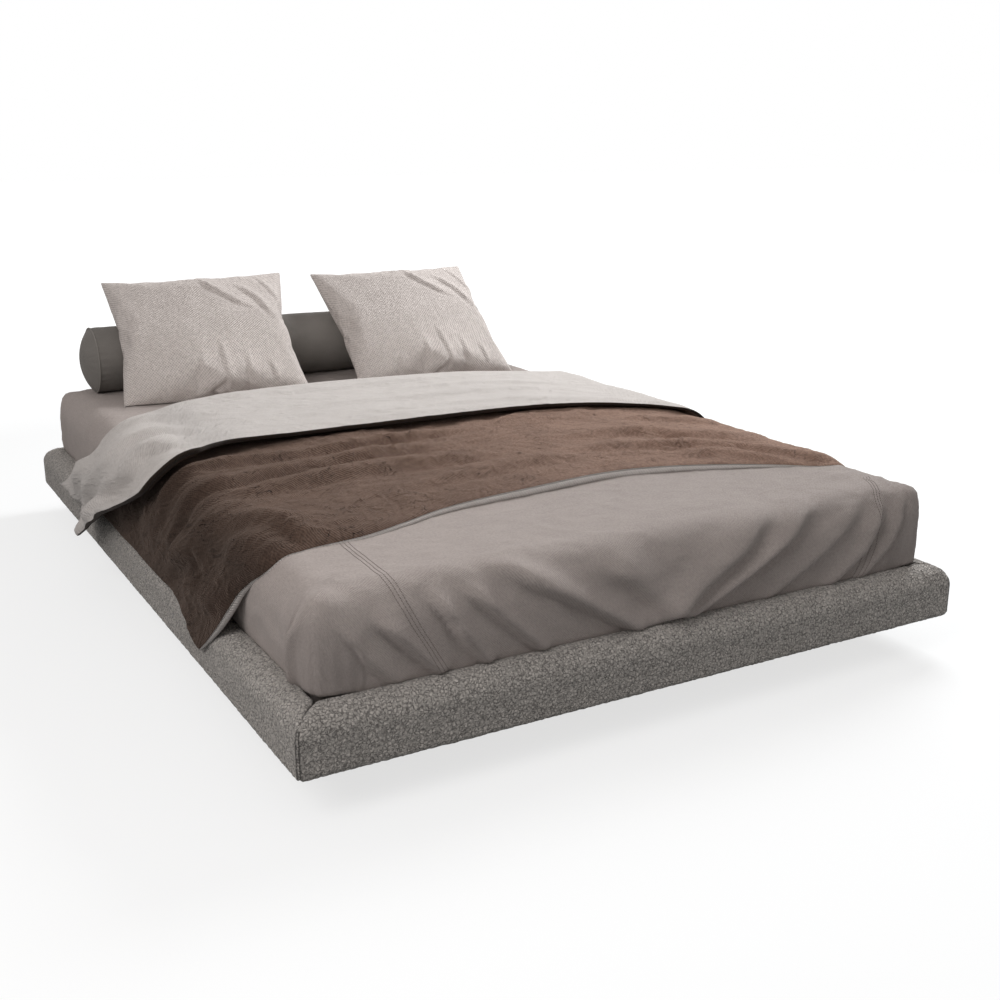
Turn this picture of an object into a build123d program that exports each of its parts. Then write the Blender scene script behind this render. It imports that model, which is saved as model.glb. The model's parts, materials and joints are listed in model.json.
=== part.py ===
from build123d import *
from dataclasses import dataclass
import math
import os

# A floating platform bed in millimetres: X across, Y from foot to head, Z up from the floor.

# Mattress, its zipped cover and the fitted sheet over both
MATTRESS_WIDTH = 1400.0
MATTRESS_LENGTH = 2000.0
MATTRESS_HEIGHT = 225.0
MATTRESS_PLAN_ROUND = 90.0
MATTRESS_TOP_ROUND = 55.0
MATTRESS_BOTTOM_ROUND = 15.0
SHEET_THICKNESS = 1.5
TICKING_THICKNESS = 4.0
SHEET_TURN_UNDER = 180.0

# Gaps between things that only rest on or beside each other
SOFT_GAP = 0.3
MATTRESS_FIT = 0.5
FIXING_CLEARANCE = 0.2

# Upholstered rails, which float above the floor
FLOOR_GAP = 80.0
RAIL_HEIGHT = 116.0
RAIL_WIDTH = 58.0
RAIL_TOP_ROUND = 42.0
RAIL_BOTTOM_ROUND = 12.0
RAIL_INNER_ROUND = 8.0
RAIL_COVER_THICKNESS = 3.0
RAIL_BOARD_THICKNESS = 25.0
RAIL_TOP_FOAM = 15.0
COVER_HEM_INSET = 8.0
COVER_END_ABOVE_SLATS = 2.0

# Timber that carries the mattress
BEARER_COUNT = 5
BEARER_WIDTH = 60.0
BEARER_THICKNESS = 30.0
BEARER_LIFT = 4.0
BEARER_END_INSET = 160.0
BATTEN_WIDTH = 40.0
BATTEN_THICKNESS = 18.0
BATTEN_INSET = 83.0
BATTEN_END_GAP = 60.0
SLAT_COUNT = 12
SLAT_WIDTH = 90.0
SLAT_THICKNESS = 18.0
SLAT_END_GAP = 13.0

# Steel brackets
BRACKET_THICKNESS = 3.0
CORNER_BRACKET_LEG = 45.0
CORNER_BRACKET_HEIGHT = 50.0
CORNER_BRACKET_LIFT = 8.0
CORNER_BOLT_STANDOFF = 27.0
BEARER_BRACKET_WIDTH = 40.0
BEARER_BRACKET_REACH = 40.0
BEARER_BRACKET_RISE = 32.0
BRACKET_SCREW_SHARE = 0.6

# Bolts and screws, and the wood that is left beyond their tips
BOLT_HEAD = 12.0
BOLT_HEAD_HEIGHT = 4.0
BOLT_DIAMETER = 6.0
BOLT_TIP_COVER = 5.0
SCREW_HEAD = 10.0
SCREW_HEAD_HEIGHT = 3.0
SCREW_DIAMETER = 5.0
BRACKET_SCREW_TIP_COVER = 6.0
FRAME_SCREW_TIP_COVER = 2.0
SCREW_SIDESTEP = 9.0

# Recessed plinth and its levelling feet
PLINTH_WIDTH = 880.0
PLINTH_THICKNESS = 25.0
BLOCK_SIZE = 50.0
BLOCK_SCREW_SHARES = (-0.2, 0.2)
FOOT_PAD_DIAMETER = 45.0
FOOT_PAD_HEIGHT = 7.0
FOOT_PAD_ROUND = 1.5
FOOT_COLLAR_ACROSS = 14.0
FOOT_COLLAR_HEIGHT = 5.0
FOOT_STEM_DIAMETER = 8.0
FOOT_STEM_LENGTH = 40.0
STEM_CLEARANCE = 0.3
INSERT_DIAMETER = 14.0
INSERT_LENGTH = 16.0

# Duvet, folded back on itself at the pillows
DUVET_THICKNESS = 20.0
DUVET_FOOT_REACH = 870.0
DUVET_HEAD_REACH = 725.0
DUVET_LEAN = 19.0
DUVET_HEM_LIFT = 6.0
TURNBACK_HEM_LIFT = 16.0
TIP_HEIGHT = 130.0
FLUTE_COUNT = 11
TURNBACK_FLUTES = 8
FLUTE_SWELL = 12.0
FLUTE_INWARD_SHARE = 0.25
DUVET_LAP = 3.0
DUVET_LAP_INSET = 1.0
PLAN_REACH = 850.0

# The duvet's edges in plan from left to right: across and along the bed
FRONT_LINE = (
    (-PLAN_REACH, -480.0),
    (-790.0, -550.0),
    (-764.0, -640.0),
    (-733.0, -700.0),
    (-708.0, -785.0),
    (-600.0, -772.0),
    (-323.0, -700.0),
    (0.0, -655.0),
    (200.0, -645.0),
    (395.0, -695.0),
    (530.0, -755.0),
    (610.0, -830.0),
    (690.0, -860.0),
    (760.0, -840.0),
    (PLAN_REACH, -780.0),
)
FREE_LINE = (
    (-PLAN_REACH, 440.0),
    (-810.0, 310.0),
    (-774.0, 70.0),
    (-742.0, -160.0),
    (-714.0, -230.0),
    (-650.0, -215.0),
    (-550.0, -130.0),
    (-368.0, -92.0),
    (144.0, -78.0),
    (376.0, -97.0),
    (553.0, -150.0),
    (660.0, -235.0),
    (740.0, -260.0),
    (PLAN_REACH, -180.0),
)
FOLD_LINE = (
    (-PLAN_REACH, 900.0),
    (-800.0, 720.0),
    (-763.0, 500.0),
    (-743.0, 350.0),
    (-710.0, 318.0),
    (-610.0, 370.0),
    (-520.0, 450.0),
    (-390.0, 478.0),
    (-100.0, 510.0),
    (300.0, 465.0),
    (620.0, 440.0),
    (714.0, 450.0),
    (PLAN_REACH, 520.0),
)

# The left hem of each layer from its pointed corner on: along the bed and height
FRONT_TIP = (
    (-580.0, FLOOR_GAP + RAIL_HEIGHT - DUVET_HEM_LIFT),
    (-555.0, TIP_HEIGHT),
    (-510.0, TIP_HEIGHT),
    (-440.0, FLOOR_GAP + RAIL_HEIGHT + DUVET_HEM_LIFT),
)
FREE_TIP = ((310.0, TIP_HEIGHT), (430.0, FLOOR_GAP + RAIL_HEIGHT + TURNBACK_HEM_LIFT))

# Long swells of each layer: middle across and along, length, width, height and turn
LOWER_SWELLS = (
    (-450.0, -225.0, 520.0, 90.0, 12.0, 2.0),
    (-430.0, -330.0, 560.0, 100.0, 16.0, 6.0),
    (-300.0, -465.0, 520.0, 130.0, 10.0, 3.0),
    (390.0, -450.0, 480.0, 120.0, 13.0, -28.0),
    (350.0, -640.0, 440.0, 90.0, 12.0, -24.0),
)
TURNBACK_SWELLS = (
    (-560.0, 60.0, 300.0, 120.0, 14.0, -30.0),
    (-100.0, 340.0, 760.0, 130.0, 8.0, 0.0),
    (100.0, 130.0, 800.0, 120.0, 8.0, -4.0),
)

# Pillows, propped on the bolster
PILLOW_WIDTH = 520.0
PILLOW_HEIGHT = 440.0
PILLOW_THICKNESS = 110.0
PILLOW_LEAN = 48.5
PILLOW_LEFT_X = -347.0
PILLOW_LEFT_TURN = -9.6
PILLOW_RIGHT_X = 332.0
PILLOW_RIGHT_TURN = 1.3
PILLOW_STATION_SHARES = (-1.0, -0.82, -0.42, 0.0, 0.42, 0.82, 1.0)
PILLOW_HEIGHT_SHARES = (1.0, 0.95, 0.92, 0.91, 0.92, 0.95, 1.0)
PILLOW_THICKNESS_SHARES = (0.08, 0.5, 0.92, 1.0, 0.92, 0.5, 0.08)
SETTLE_STEPS = 6

# Bolster
BOLSTER_DIAMETER = 185.0
BOLSTER_SEAM_LENGTH = 1240.0
BOLSTER_END_DOME = 34.0
BOLSTER_COVER_THICKNESS = 2.0
BOLSTER_HEAD_GAP = 8.0
PIPING_DIAMETER = 4.0
PIPING_STAND = 0.6

# Places that follow from the sizes above
INNER_HALF_WIDTH = MATTRESS_WIDTH / 2 + MATTRESS_FIT
INNER_HALF_LENGTH = MATTRESS_LENGTH / 2 + MATTRESS_FIT
BOARD_X = INNER_HALF_WIDTH + RAIL_COVER_THICKNESS
BOARD_Y = INNER_HALF_LENGTH + RAIL_COVER_THICKNESS
RAIL_TOP = FLOOR_GAP + RAIL_HEIGHT
BOLT_LENGTH = BRACKET_THICKNESS + RAIL_BOARD_THICKNESS - BOLT_TIP_COVER
BRACKET_SCREW_LENGTH = BRACKET_THICKNESS + RAIL_BOARD_THICKNESS - BRACKET_SCREW_TIP_COVER
FRAME_SCREW_LENGTH = SLAT_THICKNESS + BATTEN_THICKNESS - SCREW_HEAD_HEIGHT - FRAME_SCREW_TIP_COVER
BEARER_BOTTOM = FLOOR_GAP + BEARER_LIFT
BEARER_TOP = BEARER_BOTTOM + BEARER_THICKNESS
BATTEN_TOP = BEARER_TOP + BATTEN_THICKNESS
SLAT_TOP = BATTEN_TOP + SLAT_THICKNESS
MATTRESS_BOTTOM = SLAT_TOP + SOFT_GAP
MATTRESS_TOP = MATTRESS_BOTTOM + MATTRESS_HEIGHT
BEARER_REACH = INNER_HALF_LENGTH - BEARER_END_INSET
BEARER_STEP = 2 * BEARER_REACH / (BEARER_COUNT - 1)
BEARER_PLACES = [index * BEARER_STEP - BEARER_REACH for index in range(BEARER_COUNT)]
SIDE_BATTEN_X = BOARD_X - BATTEN_INSET
SIDE_BATTEN_END = INNER_HALF_LENGTH - BATTEN_END_GAP
BATTEN_PLACES = {
    "left": (-SIDE_BATTEN_X, SIDE_BATTEN_END),
    "centre": (0.0, BOARD_Y),
    "right": (SIDE_BATTEN_X, SIDE_BATTEN_END),
}
SLAT_REACH = SIDE_BATTEN_END - SLAT_WIDTH / 2
SLAT_STEP = 2 * SLAT_REACH / (SLAT_COUNT - 1)
SLAT_PLACES = [index * SLAT_STEP - SLAT_REACH for index in range(SLAT_COUNT)]
PLINTH_BOTTOM = FOOT_PAD_HEIGHT + FOOT_COLLAR_HEIGHT
PLINTH_INNER_X = PLINTH_WIDTH / 2 - PLINTH_THICKNESS
PLINTH_OUTER_Y = BEARER_REACH + PLINTH_THICKNESS / 2
PLINTH_INNER_Y = PLINTH_OUTER_Y - PLINTH_THICKNESS
FOOT_X = PLINTH_INNER_X - BLOCK_SIZE / 2
FOOT_Y = PLINTH_INNER_Y - BLOCK_SIZE / 2
FOOT_PLACES = {
    "foot_left": (-FOOT_X, -FOOT_Y),
    "foot_right": (FOOT_X, -FOOT_Y),
    "middle_left": (-FOOT_X, 0.0),
    "middle_right": (FOOT_X, 0.0),
    "head_left": (-FOOT_X, FOOT_Y),
    "head_right": (FOOT_X, FOOT_Y),
}
EDGE_X = MATTRESS_WIDTH / 2 - MATTRESS_TOP_ROUND
EDGE_Z = MATTRESS_TOP - MATTRESS_TOP_ROUND
FLUTE = (DUVET_FOOT_REACH + DUVET_HEAD_REACH) / FLUTE_COUNT
BOLSTER_RADIUS = BOLSTER_DIAMETER / 2
PIPING_RADIUS = PIPING_DIAMETER / 2
PIPING_RING_RADIUS = BOLSTER_RADIUS + PIPING_STAND
BOLSTER_Y = MATTRESS_LENGTH / 2 - BOLSTER_HEAD_GAP - BOLSTER_RADIUS
BOLSTER_Z = MATTRESS_TOP + SOFT_GAP + PIPING_RING_RADIUS + PIPING_RADIUS


def span_box(x_ends, y_ends, z_ends):
    """A box between two ends on each axis, which may come in either order."""
    sizes = [abs(end - start) for start, end in (x_ends, y_ends, z_ends)]
    middles = [(start + end) / 2 for start, end in (x_ends, y_ends, z_ends)]
    return Pos(*middles) * Box(*sizes)


@dataclass(frozen=True)
class Fixing:
    """A screw or bolt: the seat under its head, the way its shank points, and its sizes."""

    seat: tuple
    way: tuple
    head: float
    head_height: float
    diameter: float
    length: float

    def body(self):
        """The fixing itself."""
        head = Pos(0, 0, -self.head_height / 2) * Cylinder(self.head / 2, self.head_height)
        shank = Pos(0, 0, self.length / 2) * Cylinder(self.diameter / 2, self.length)
        return Plane(origin=self.seat, z_dir=self.way) * (head + shank)

    def hole(self):
        """The bore it needs, with a recess for its head where the wood stands above the seat."""
        recess_radius = self.head / 2 + FIXING_CLEARANCE
        bore_radius = self.diameter / 2 + FIXING_CLEARANCE
        recess = Pos(0, 0, -self.head_height / 2) * Cylinder(recess_radius, self.head_height)
        bore_length = self.length + FIXING_CLEARANCE
        bore = Pos(0, 0, bore_length / 2) * Cylinder(bore_radius, bore_length)
        return Plane(origin=self.seat, z_dir=self.way) * (recess + bore)


def bolt(seat, way):
    """A coach bolt of a corner bracket."""
    return Fixing(seat, way, BOLT_HEAD, BOLT_HEAD_HEIGHT, BOLT_DIAMETER, BOLT_LENGTH)


def screw(seat, way, length):
    """A wood screw."""
    return Fixing(seat, way, SCREW_HEAD, SCREW_HEAD_HEIGHT, SCREW_DIAMETER, length)


def corner_bolt_list():
    """Two bolts through each leg of the four corner brackets, into the rail boards."""
    middle = FLOOR_GAP + CORNER_BRACKET_LIFT + CORNER_BRACKET_HEIGHT / 2
    heights = (middle - CORNER_BRACKET_HEIGHT / 4, middle + CORNER_BRACKET_HEIGHT / 4)
    bolts = []
    for x_side in (-1, 1):
        for y_side in (-1, 1):
            for z in heights:
                on_side = (
                    x_side * (BOARD_X - BRACKET_THICKNESS),
                    y_side * (BOARD_Y - CORNER_BOLT_STANDOFF),
                    z,
                )
                on_end = (
                    x_side * (BOARD_X - CORNER_BOLT_STANDOFF),
                    y_side * (BOARD_Y - BRACKET_THICKNESS),
                    z,
                )
                bolts.append(bolt(on_side, (x_side, 0, 0)))
                bolts.append(bolt(on_end, (0, y_side, 0)))
    return bolts


def bracket_screw_list():
    """Two screws in each leg of the bearer brackets, into the side boards and the bearers."""
    screws = []
    x_upright = BOARD_X - BRACKET_THICKNESS
    z_upright = BEARER_TOP + BEARER_BRACKET_RISE * BRACKET_SCREW_SHARE
    x_flat = BOARD_X - BEARER_BRACKET_REACH * BRACKET_SCREW_SHARE
    z_flat = BEARER_TOP + BRACKET_THICKNESS
    for y_bearer in BEARER_PLACES:
        for x_side in (-1, 1):
            for y in (y_bearer - BEARER_BRACKET_WIDTH / 4, y_bearer + BEARER_BRACKET_WIDTH / 4):
                on_board = (x_side * x_upright, y, z_upright)
                on_bearer = (x_side * x_flat, y, z_flat)
                screws.append(screw(on_board, (x_side, 0, 0), BRACKET_SCREW_LENGTH))
                screws.append(screw(on_bearer, (0, 0, -1), BRACKET_SCREW_LENGTH))
    return screws


def frame_screw_list():
    """Flush screws: battens to bearers, slats to battens, and plinth sides to blocks."""
    screws = []
    for x_batten, _ in BATTEN_PLACES.values():
        for y in BEARER_PLACES:
            seat = (x_batten - SCREW_SIDESTEP, y, BATTEN_TOP - SCREW_HEAD_HEIGHT)
            screws.append(screw(seat, (0, 0, -1), FRAME_SCREW_LENGTH))
        for y in SLAT_PLACES:
            seat = (x_batten + SCREW_SIDESTEP, y, SLAT_TOP - SCREW_HEAD_HEIGHT)
            screws.append(screw(seat, (0, 0, -1), FRAME_SCREW_LENGTH))
    for x, y in FOOT_PLACES.values():
        side = math.copysign(1, x)
        x_seat = side * (PLINTH_WIDTH / 2 - SCREW_HEAD_HEIGHT)
        for share in BLOCK_SCREW_SHARES:
            seat = (x_seat, y + share * BLOCK_SIZE, PLINTH_BOTTOM + BLOCK_SIZE / 2)
            screws.append(screw(seat, (-side, 0, 0), FRAME_SCREW_LENGTH))
    return screws


def drilled(piece, fixings):
    """The piece with the bore of every fixing that reaches it."""
    reach = piece.bounding_box()
    for fixing in fixings:
        hole = fixing.hole()
        bounds = hole.bounding_box()
        apart = (
            bounds.min.X > reach.max.X
            or bounds.max.X < reach.min.X
            or bounds.min.Y > reach.max.Y
            or bounds.max.Y < reach.min.Y
            or bounds.min.Z > reach.max.Z
            or bounds.max.Z < reach.min.Z
        )
        if not apart:
            piece = piece - hole
    return piece


def rail_envelope(inset):
    """A rail's section drawn in by the inset, in XY, with x = 0 at the face towards the mattress."""
    middle = Pos(RAIL_WIDTH / 2, FLOOR_GAP + RAIL_HEIGHT / 2)
    face = middle * Rectangle(RAIL_WIDTH - 2 * inset, RAIL_HEIGHT - 2 * inset)
    corners = ((1, 1, RAIL_TOP_ROUND), (1, -1, RAIL_BOTTOM_ROUND), (-1, 1, RAIL_INNER_ROUND))
    for x_way, y_way, radius in corners:
        corner = max(face.vertices(), key=lambda point: x_way * point.X + y_way * point.Y)
        face = fillet(corner, radius - inset)
    return face


def rail_board_face():
    """The section of the timber board inside a rail."""
    bottom = FLOOR_GAP + RAIL_COVER_THICKNESS
    top = RAIL_TOP - RAIL_COVER_THICKNESS - RAIL_TOP_FOAM
    middle = Pos(RAIL_COVER_THICKNESS + RAIL_BOARD_THICKNESS / 2, (bottom + top) / 2)
    return middle * Rectangle(RAIL_BOARD_THICKNESS, top - bottom)


def rail_foam_face():
    """The section of the foam that is glued over the top and outside of a board."""
    return rail_envelope(RAIL_COVER_THICKNESS) - rail_board_face()


def rail_cover_face():
    """The section of the upholstery: stapled inside above the slats and under the board."""
    ring = rail_envelope(0) - rail_envelope(RAIL_COVER_THICKNESS)
    inner_end = SLAT_TOP + COVER_END_ABOVE_SLATS
    inner_height = inner_end - FLOOR_GAP
    inner_cut = Pos(RAIL_COVER_THICKNESS / 2, FLOOR_GAP + inner_height / 2)
    under_cut = Pos(COVER_HEM_INSET / 2, FLOOR_GAP + RAIL_COVER_THICKNESS / 2)
    ring = ring - inner_cut * Rectangle(RAIL_COVER_THICKNESS, inner_height)
    return ring - under_cut * Rectangle(COVER_HEM_INSET, RAIL_COVER_THICKNESS)


RAIL_SIDES = {
    "right": (0, INNER_HALF_WIDTH, INNER_HALF_LENGTH),
    "head": (90, INNER_HALF_LENGTH, INNER_HALF_WIDTH),
    "left": (180, INNER_HALF_WIDTH, INNER_HALF_LENGTH),
    "foot": (270, INNER_HALF_LENGTH, INNER_HALF_WIDTH),
}


def rail_piece(face, side):
    """A section run along one side of the frame and mitred at both ends."""
    turn, inner, half_length = RAIL_SIDES[side]
    run = extrude(Plane.XZ * face, amount=half_length + RAIL_WIDTH, both=True)
    wedge = Polygon(
        (inner, -half_length),
        (inner + RAIL_WIDTH, -half_length - RAIL_WIDTH),
        (inner + RAIL_WIDTH, half_length + RAIL_WIDTH),
        (inner, half_length),
        align=None,
    )
    mitred = (Pos(inner, 0, 0) * run) & extrude(wedge, amount=RAIL_TOP)
    return Rot(0, 0, turn) * mitred


def corner_bracket(x_side, y_side):
    """An angle of steel plate in one inner corner of the boards."""
    bottom = FLOOR_GAP + CORNER_BRACKET_LIFT
    z_ends = (bottom, bottom + CORNER_BRACKET_HEIGHT)
    x_face = x_side * BOARD_X
    y_face = y_side * BOARD_Y
    x_leg_end = x_face - x_side * CORNER_BRACKET_LEG
    y_leg_end = y_face - y_side * CORNER_BRACKET_LEG
    on_side = span_box((x_face, x_face - x_side * BRACKET_THICKNESS), (y_face, y_leg_end), z_ends)
    on_end = span_box((x_face, x_leg_end), (y_face, y_face - y_side * BRACKET_THICKNESS), z_ends)
    return on_side + on_end


def bearer(y):
    """A cross bearer between the side boards, lying on the plinth."""
    y_ends = (y - BEARER_WIDTH / 2, y + BEARER_WIDTH / 2)
    return span_box((-BOARD_X, BOARD_X), y_ends, (BEARER_BOTTOM, BEARER_TOP))


def bearer_bracket(x_side, y):
    """The steel angle that ties one end of a bearer to the side board."""
    x_face = x_side * BOARD_X
    y_ends = (y - BEARER_BRACKET_WIDTH / 2, y + BEARER_BRACKET_WIDTH / 2)
    upright_x = (x_face, x_face - x_side * BRACKET_THICKNESS)
    flat_x = (x_face, x_face - x_side * BEARER_BRACKET_REACH)
    upright = span_box(upright_x, y_ends, (BEARER_TOP, BEARER_TOP + BEARER_BRACKET_RISE))
    flat = span_box(flat_x, y_ends, (BEARER_TOP, BEARER_TOP + BRACKET_THICKNESS))
    return upright + flat


def batten(x, y_end):
    """A lengthwise batten that the slats lie on."""
    x_ends = (x - BATTEN_WIDTH / 2, x + BATTEN_WIDTH / 2)
    return span_box(x_ends, (-y_end, y_end), (BEARER_TOP, BATTEN_TOP))


def slat(y):
    """One slat across the three battens."""
    x_end = BOARD_X - SLAT_END_GAP
    y_ends = (y - SLAT_WIDTH / 2, y + SLAT_WIDTH / 2)
    return span_box((-x_end, x_end), y_ends, (BATTEN_TOP, SLAT_TOP))


def plinth_boards():
    """The five boards of the recessed plinth, by name."""
    z_ends = (PLINTH_BOTTOM, BEARER_BOTTOM)
    outer_x = PLINTH_WIDTH / 2
    half_thickness = PLINTH_THICKNESS / 2
    full_y = (-PLINTH_OUTER_Y, PLINTH_OUTER_Y)
    inner_y = (-PLINTH_INNER_Y, PLINTH_INNER_Y)
    inner_x = (-PLINTH_INNER_X, PLINTH_INNER_X)
    return {
        "plinth_side_left": span_box((-outer_x, -PLINTH_INNER_X), full_y, z_ends),
        "plinth_side_right": span_box((PLINTH_INNER_X, outer_x), full_y, z_ends),
        "plinth_end_foot": span_box(inner_x, (-PLINTH_OUTER_Y, -PLINTH_INNER_Y), z_ends),
        "plinth_end_head": span_box(inner_x, (PLINTH_INNER_Y, PLINTH_OUTER_Y), z_ends),
        "plinth_spine": span_box((-half_thickness, half_thickness), inner_y, z_ends),
    }


def plinth_block(x, y):
    """A glued block, bored for a threaded insert and the stem of a foot above it."""
    block = Pos(x, y, PLINTH_BOTTOM + BLOCK_SIZE / 2) * Box(BLOCK_SIZE, BLOCK_SIZE, BLOCK_SIZE)
    insert_bore = Cylinder(INSERT_DIAMETER / 2 + FIXING_CLEARANCE, INSERT_LENGTH)
    stem_bore = Cylinder(FOOT_STEM_DIAMETER / 2 + STEM_CLEARANCE, BLOCK_SIZE)
    block = block - Pos(x, y, PLINTH_BOTTOM + INSERT_LENGTH / 2) * insert_bore
    return block - Pos(x, y, PLINTH_BOTTOM + BLOCK_SIZE / 2) * stem_bore


def thread_insert(x, y):
    """The threaded sleeve in a block that a foot screws into."""
    sleeve = Cylinder(INSERT_DIAMETER / 2, INSERT_LENGTH)
    bore = Cylinder(FOOT_STEM_DIAMETER / 2 + STEM_CLEARANCE, INSERT_LENGTH)
    return Pos(x, y, PLINTH_BOTTOM + INSERT_LENGTH / 2) * (sleeve - bore)


def levelling_foot(x, y):
    """A foot screwed fully in: its pad on the floor and its hexagon collar against the insert."""
    pad = Pos(0, 0, FOOT_PAD_HEIGHT / 2) * Cylinder(FOOT_PAD_DIAMETER / 2, FOOT_PAD_HEIGHT)
    pad = fillet(pad.edges().group_by(Axis.Z)[-1], FOOT_PAD_ROUND)
    collar_radius = FOOT_COLLAR_ACROSS / math.sqrt(3)
    collar = extrude(RegularPolygon(collar_radius, 6), amount=FOOT_COLLAR_HEIGHT)
    stem = Pos(0, 0, FOOT_STEM_LENGTH / 2) * Cylinder(FOOT_STEM_DIAMETER / 2, FOOT_STEM_LENGTH)
    foot = pad + Pos(0, 0, FOOT_PAD_HEIGHT) * collar + Pos(0, 0, PLINTH_BOTTOM) * stem
    return Pos(x, y, 0) * foot


def mattress_body(inset):
    """The rounded block of the mattress, drawn in by the inset on every side."""
    block = Pos(0, 0, (MATTRESS_BOTTOM + MATTRESS_TOP) / 2) * Box(
        MATTRESS_WIDTH - 2 * inset, MATTRESS_LENGTH - 2 * inset, MATTRESS_HEIGHT - 2 * inset
    )
    block = fillet(block.edges().filter_by(Axis.Z), MATTRESS_PLAN_ROUND - inset)
    block = fillet(block.edges().group_by(Axis.Z)[-1], MATTRESS_TOP_ROUND - inset)
    return fillet(block.edges().group_by(Axis.Z)[0], MATTRESS_BOTTOM_ROUND - inset)


def fitted_sheet():
    """The sheet round the top and sides, turned under the mattress and open in the middle."""
    shell = mattress_body(0) - mattress_body(SHEET_THICKNESS)
    opening = Box(
        MATTRESS_WIDTH - 2 * SHEET_TURN_UNDER, MATTRESS_LENGTH - 2 * SHEET_TURN_UNDER, 2 * SHEET_THICKNESS
    )
    return shell - Pos(0, 0, MATTRESS_BOTTOM) * opening


def other_side(point):
    """The point across the middle of the bed in a section."""
    return (-point[0], point[1])


def beside_edge(offset, along):
    """A point on the right side of a layer this far off the sheet, moved along its hanging side."""
    slope = math.radians(DUVET_LEAN)
    radius = MATTRESS_TOP_ROUND + offset
    x = EDGE_X + radius * math.cos(slope) + along * math.sin(slope)
    z = EDGE_Z + radius * math.sin(slope) - along * math.cos(slope)
    return (x, z)


def round_edge(offset):
    """The start, middle and end of a layer's turn over the right edge of the mattress."""
    radius = MATTRESS_TOP_ROUND + offset
    start = math.radians(90)
    end = math.radians(DUVET_LEAN)
    angles = (start, (start + end) / 2, end)
    return [(EDGE_X + radius * math.cos(angle), EDGE_Z + radius * math.sin(angle)) for angle in angles]


def drape_arch(y_start, y_end, inner, outer):
    """A layer between two heights off the sheet, over the mattress as far as its turned edges."""
    inside = round_edge(inner)
    outside = round_edge(outer)
    outline = [
        Line(other_side(inside[0]), inside[0]),
        ThreePointArc(*inside),
        Line(inside[2], outside[2]),
        ThreePointArc(*reversed(outside)),
        Line(outside[0], other_side(outside[0])),
        ThreePointArc(*[other_side(point) for point in outside]),
        Line(other_side(outside[2]), other_side(inside[2])),
        ThreePointArc(*[other_side(point) for point in reversed(inside)]),
    ]
    face = Plane.XZ * make_face(outline)
    return Pos(0, y_end, 0) * extrude(face, amount=y_end - y_start)


def flute_line(point, y_start, flutes, swell):
    """A line along the bed in one piece for each flute: a wide swell outwards, then a slight one inwards."""
    x, z = point
    first = round((y_start + DUVET_FOOT_REACH) / FLUTE)
    pieces = []
    for index in range(first, first + flutes):
        swing = -FLUTE_INWARD_SHARE * swell if index % 2 else swell
        start = (x, index * FLUTE - DUVET_FOOT_REACH, z)
        middle = (x + swing, (index + 0.5) * FLUTE - DUVET_FOOT_REACH, z)
        end = (x, (index + 1) * FLUTE - DUVET_FOOT_REACH, z)
        pieces.append(ThreePointArc(start, middle, end) if swell else Line(start, end))
    return pieces


def strip_face(inside, outside, y_start, flutes, swell):
    """A closed strip along the bed between two such lines."""
    y_end = y_start + flutes * FLUTE
    edges = flute_line(inside, y_start, flutes, swell)
    edges.append(Line((inside[0], y_end, inside[1]), (outside[0], y_end, outside[1])))
    edges.extend(reversed(flute_line(outside, y_start, flutes, swell)))
    edges.append(Line((outside[0], y_start, outside[1]), (inside[0], y_start, inside[1])))
    return make_face(edges)


def drape_drop(y_start, flutes, inner, outer, hem_height, swell):
    """The side of a layer that hangs on the right, lapped into its turned edge and fluted at the hem."""
    lap = [beside_edge(inner + DUVET_LAP_INSET, -DUVET_LAP), beside_edge(outer - DUVET_LAP_INSET, -DUVET_LAP)]
    hem = []
    for offset in (inner, outer):
        rise = beside_edge(offset, 0)[1] - hem_height
        hem.append(beside_edge(offset, rise / math.cos(math.radians(DUVET_LEAN))))
    return loft([strip_face(*lap, y_start, flutes, 0), strip_face(*hem, y_start, flutes, swell)], ruled=True)


def drape(y_start, flutes, inner, outer, hem_height, swell):
    """A whole layer of the duvet: over the mattress and down both sides."""
    arch = drape_arch(y_start, y_start + flutes * FLUTE, inner, outer)
    drop = drape_drop(y_start, flutes, inner, outer, hem_height, swell)
    return arch + drop + mirror(drop, about=Plane.YZ)


def plan_block(near_line, far_line):
    """Everything between two lines in plan, from the floor to above the bed."""
    outline = Polyline(*near_line, *reversed(far_line), close=True)
    return extrude(make_face(outline), amount=2 * MATTRESS_TOP)


def below_hem(x_side, line):
    """Everything on one side of the bed that is lower than a layer's hem."""
    start = (-2 * DUVET_FOOT_REACH, line[0][1])
    end = (2 * DUVET_FOOT_REACH, line[-1][1])
    outline = Plane.YZ * Polyline(start, *line, end, (end[0], 0), (start[0], 0), close=True)
    return extrude(make_face(outline), amount=x_side * 2 * PLAN_REACH, dir=(1, 0, 0))


def swell(top, x, y, length, width, height, turn):
    """A long low swell on top of a layer."""
    return Pos(x, y, top) * Rot(0, 0, turn) * scale(Sphere(1), by=(length / 2, width / 2, height))


def shaped_layer(layer, near_line, hem, top, swells):
    """A layer cut to its lines in plan and its hems, with its swells."""
    layer = layer & plan_block(near_line, FOLD_LINE)
    layer = layer - below_hem(-1, hem) - below_hem(1, hem[-1:])
    for sizes in swells:
        layer = layer + swell(top, *sizes)
    return layer


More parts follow.
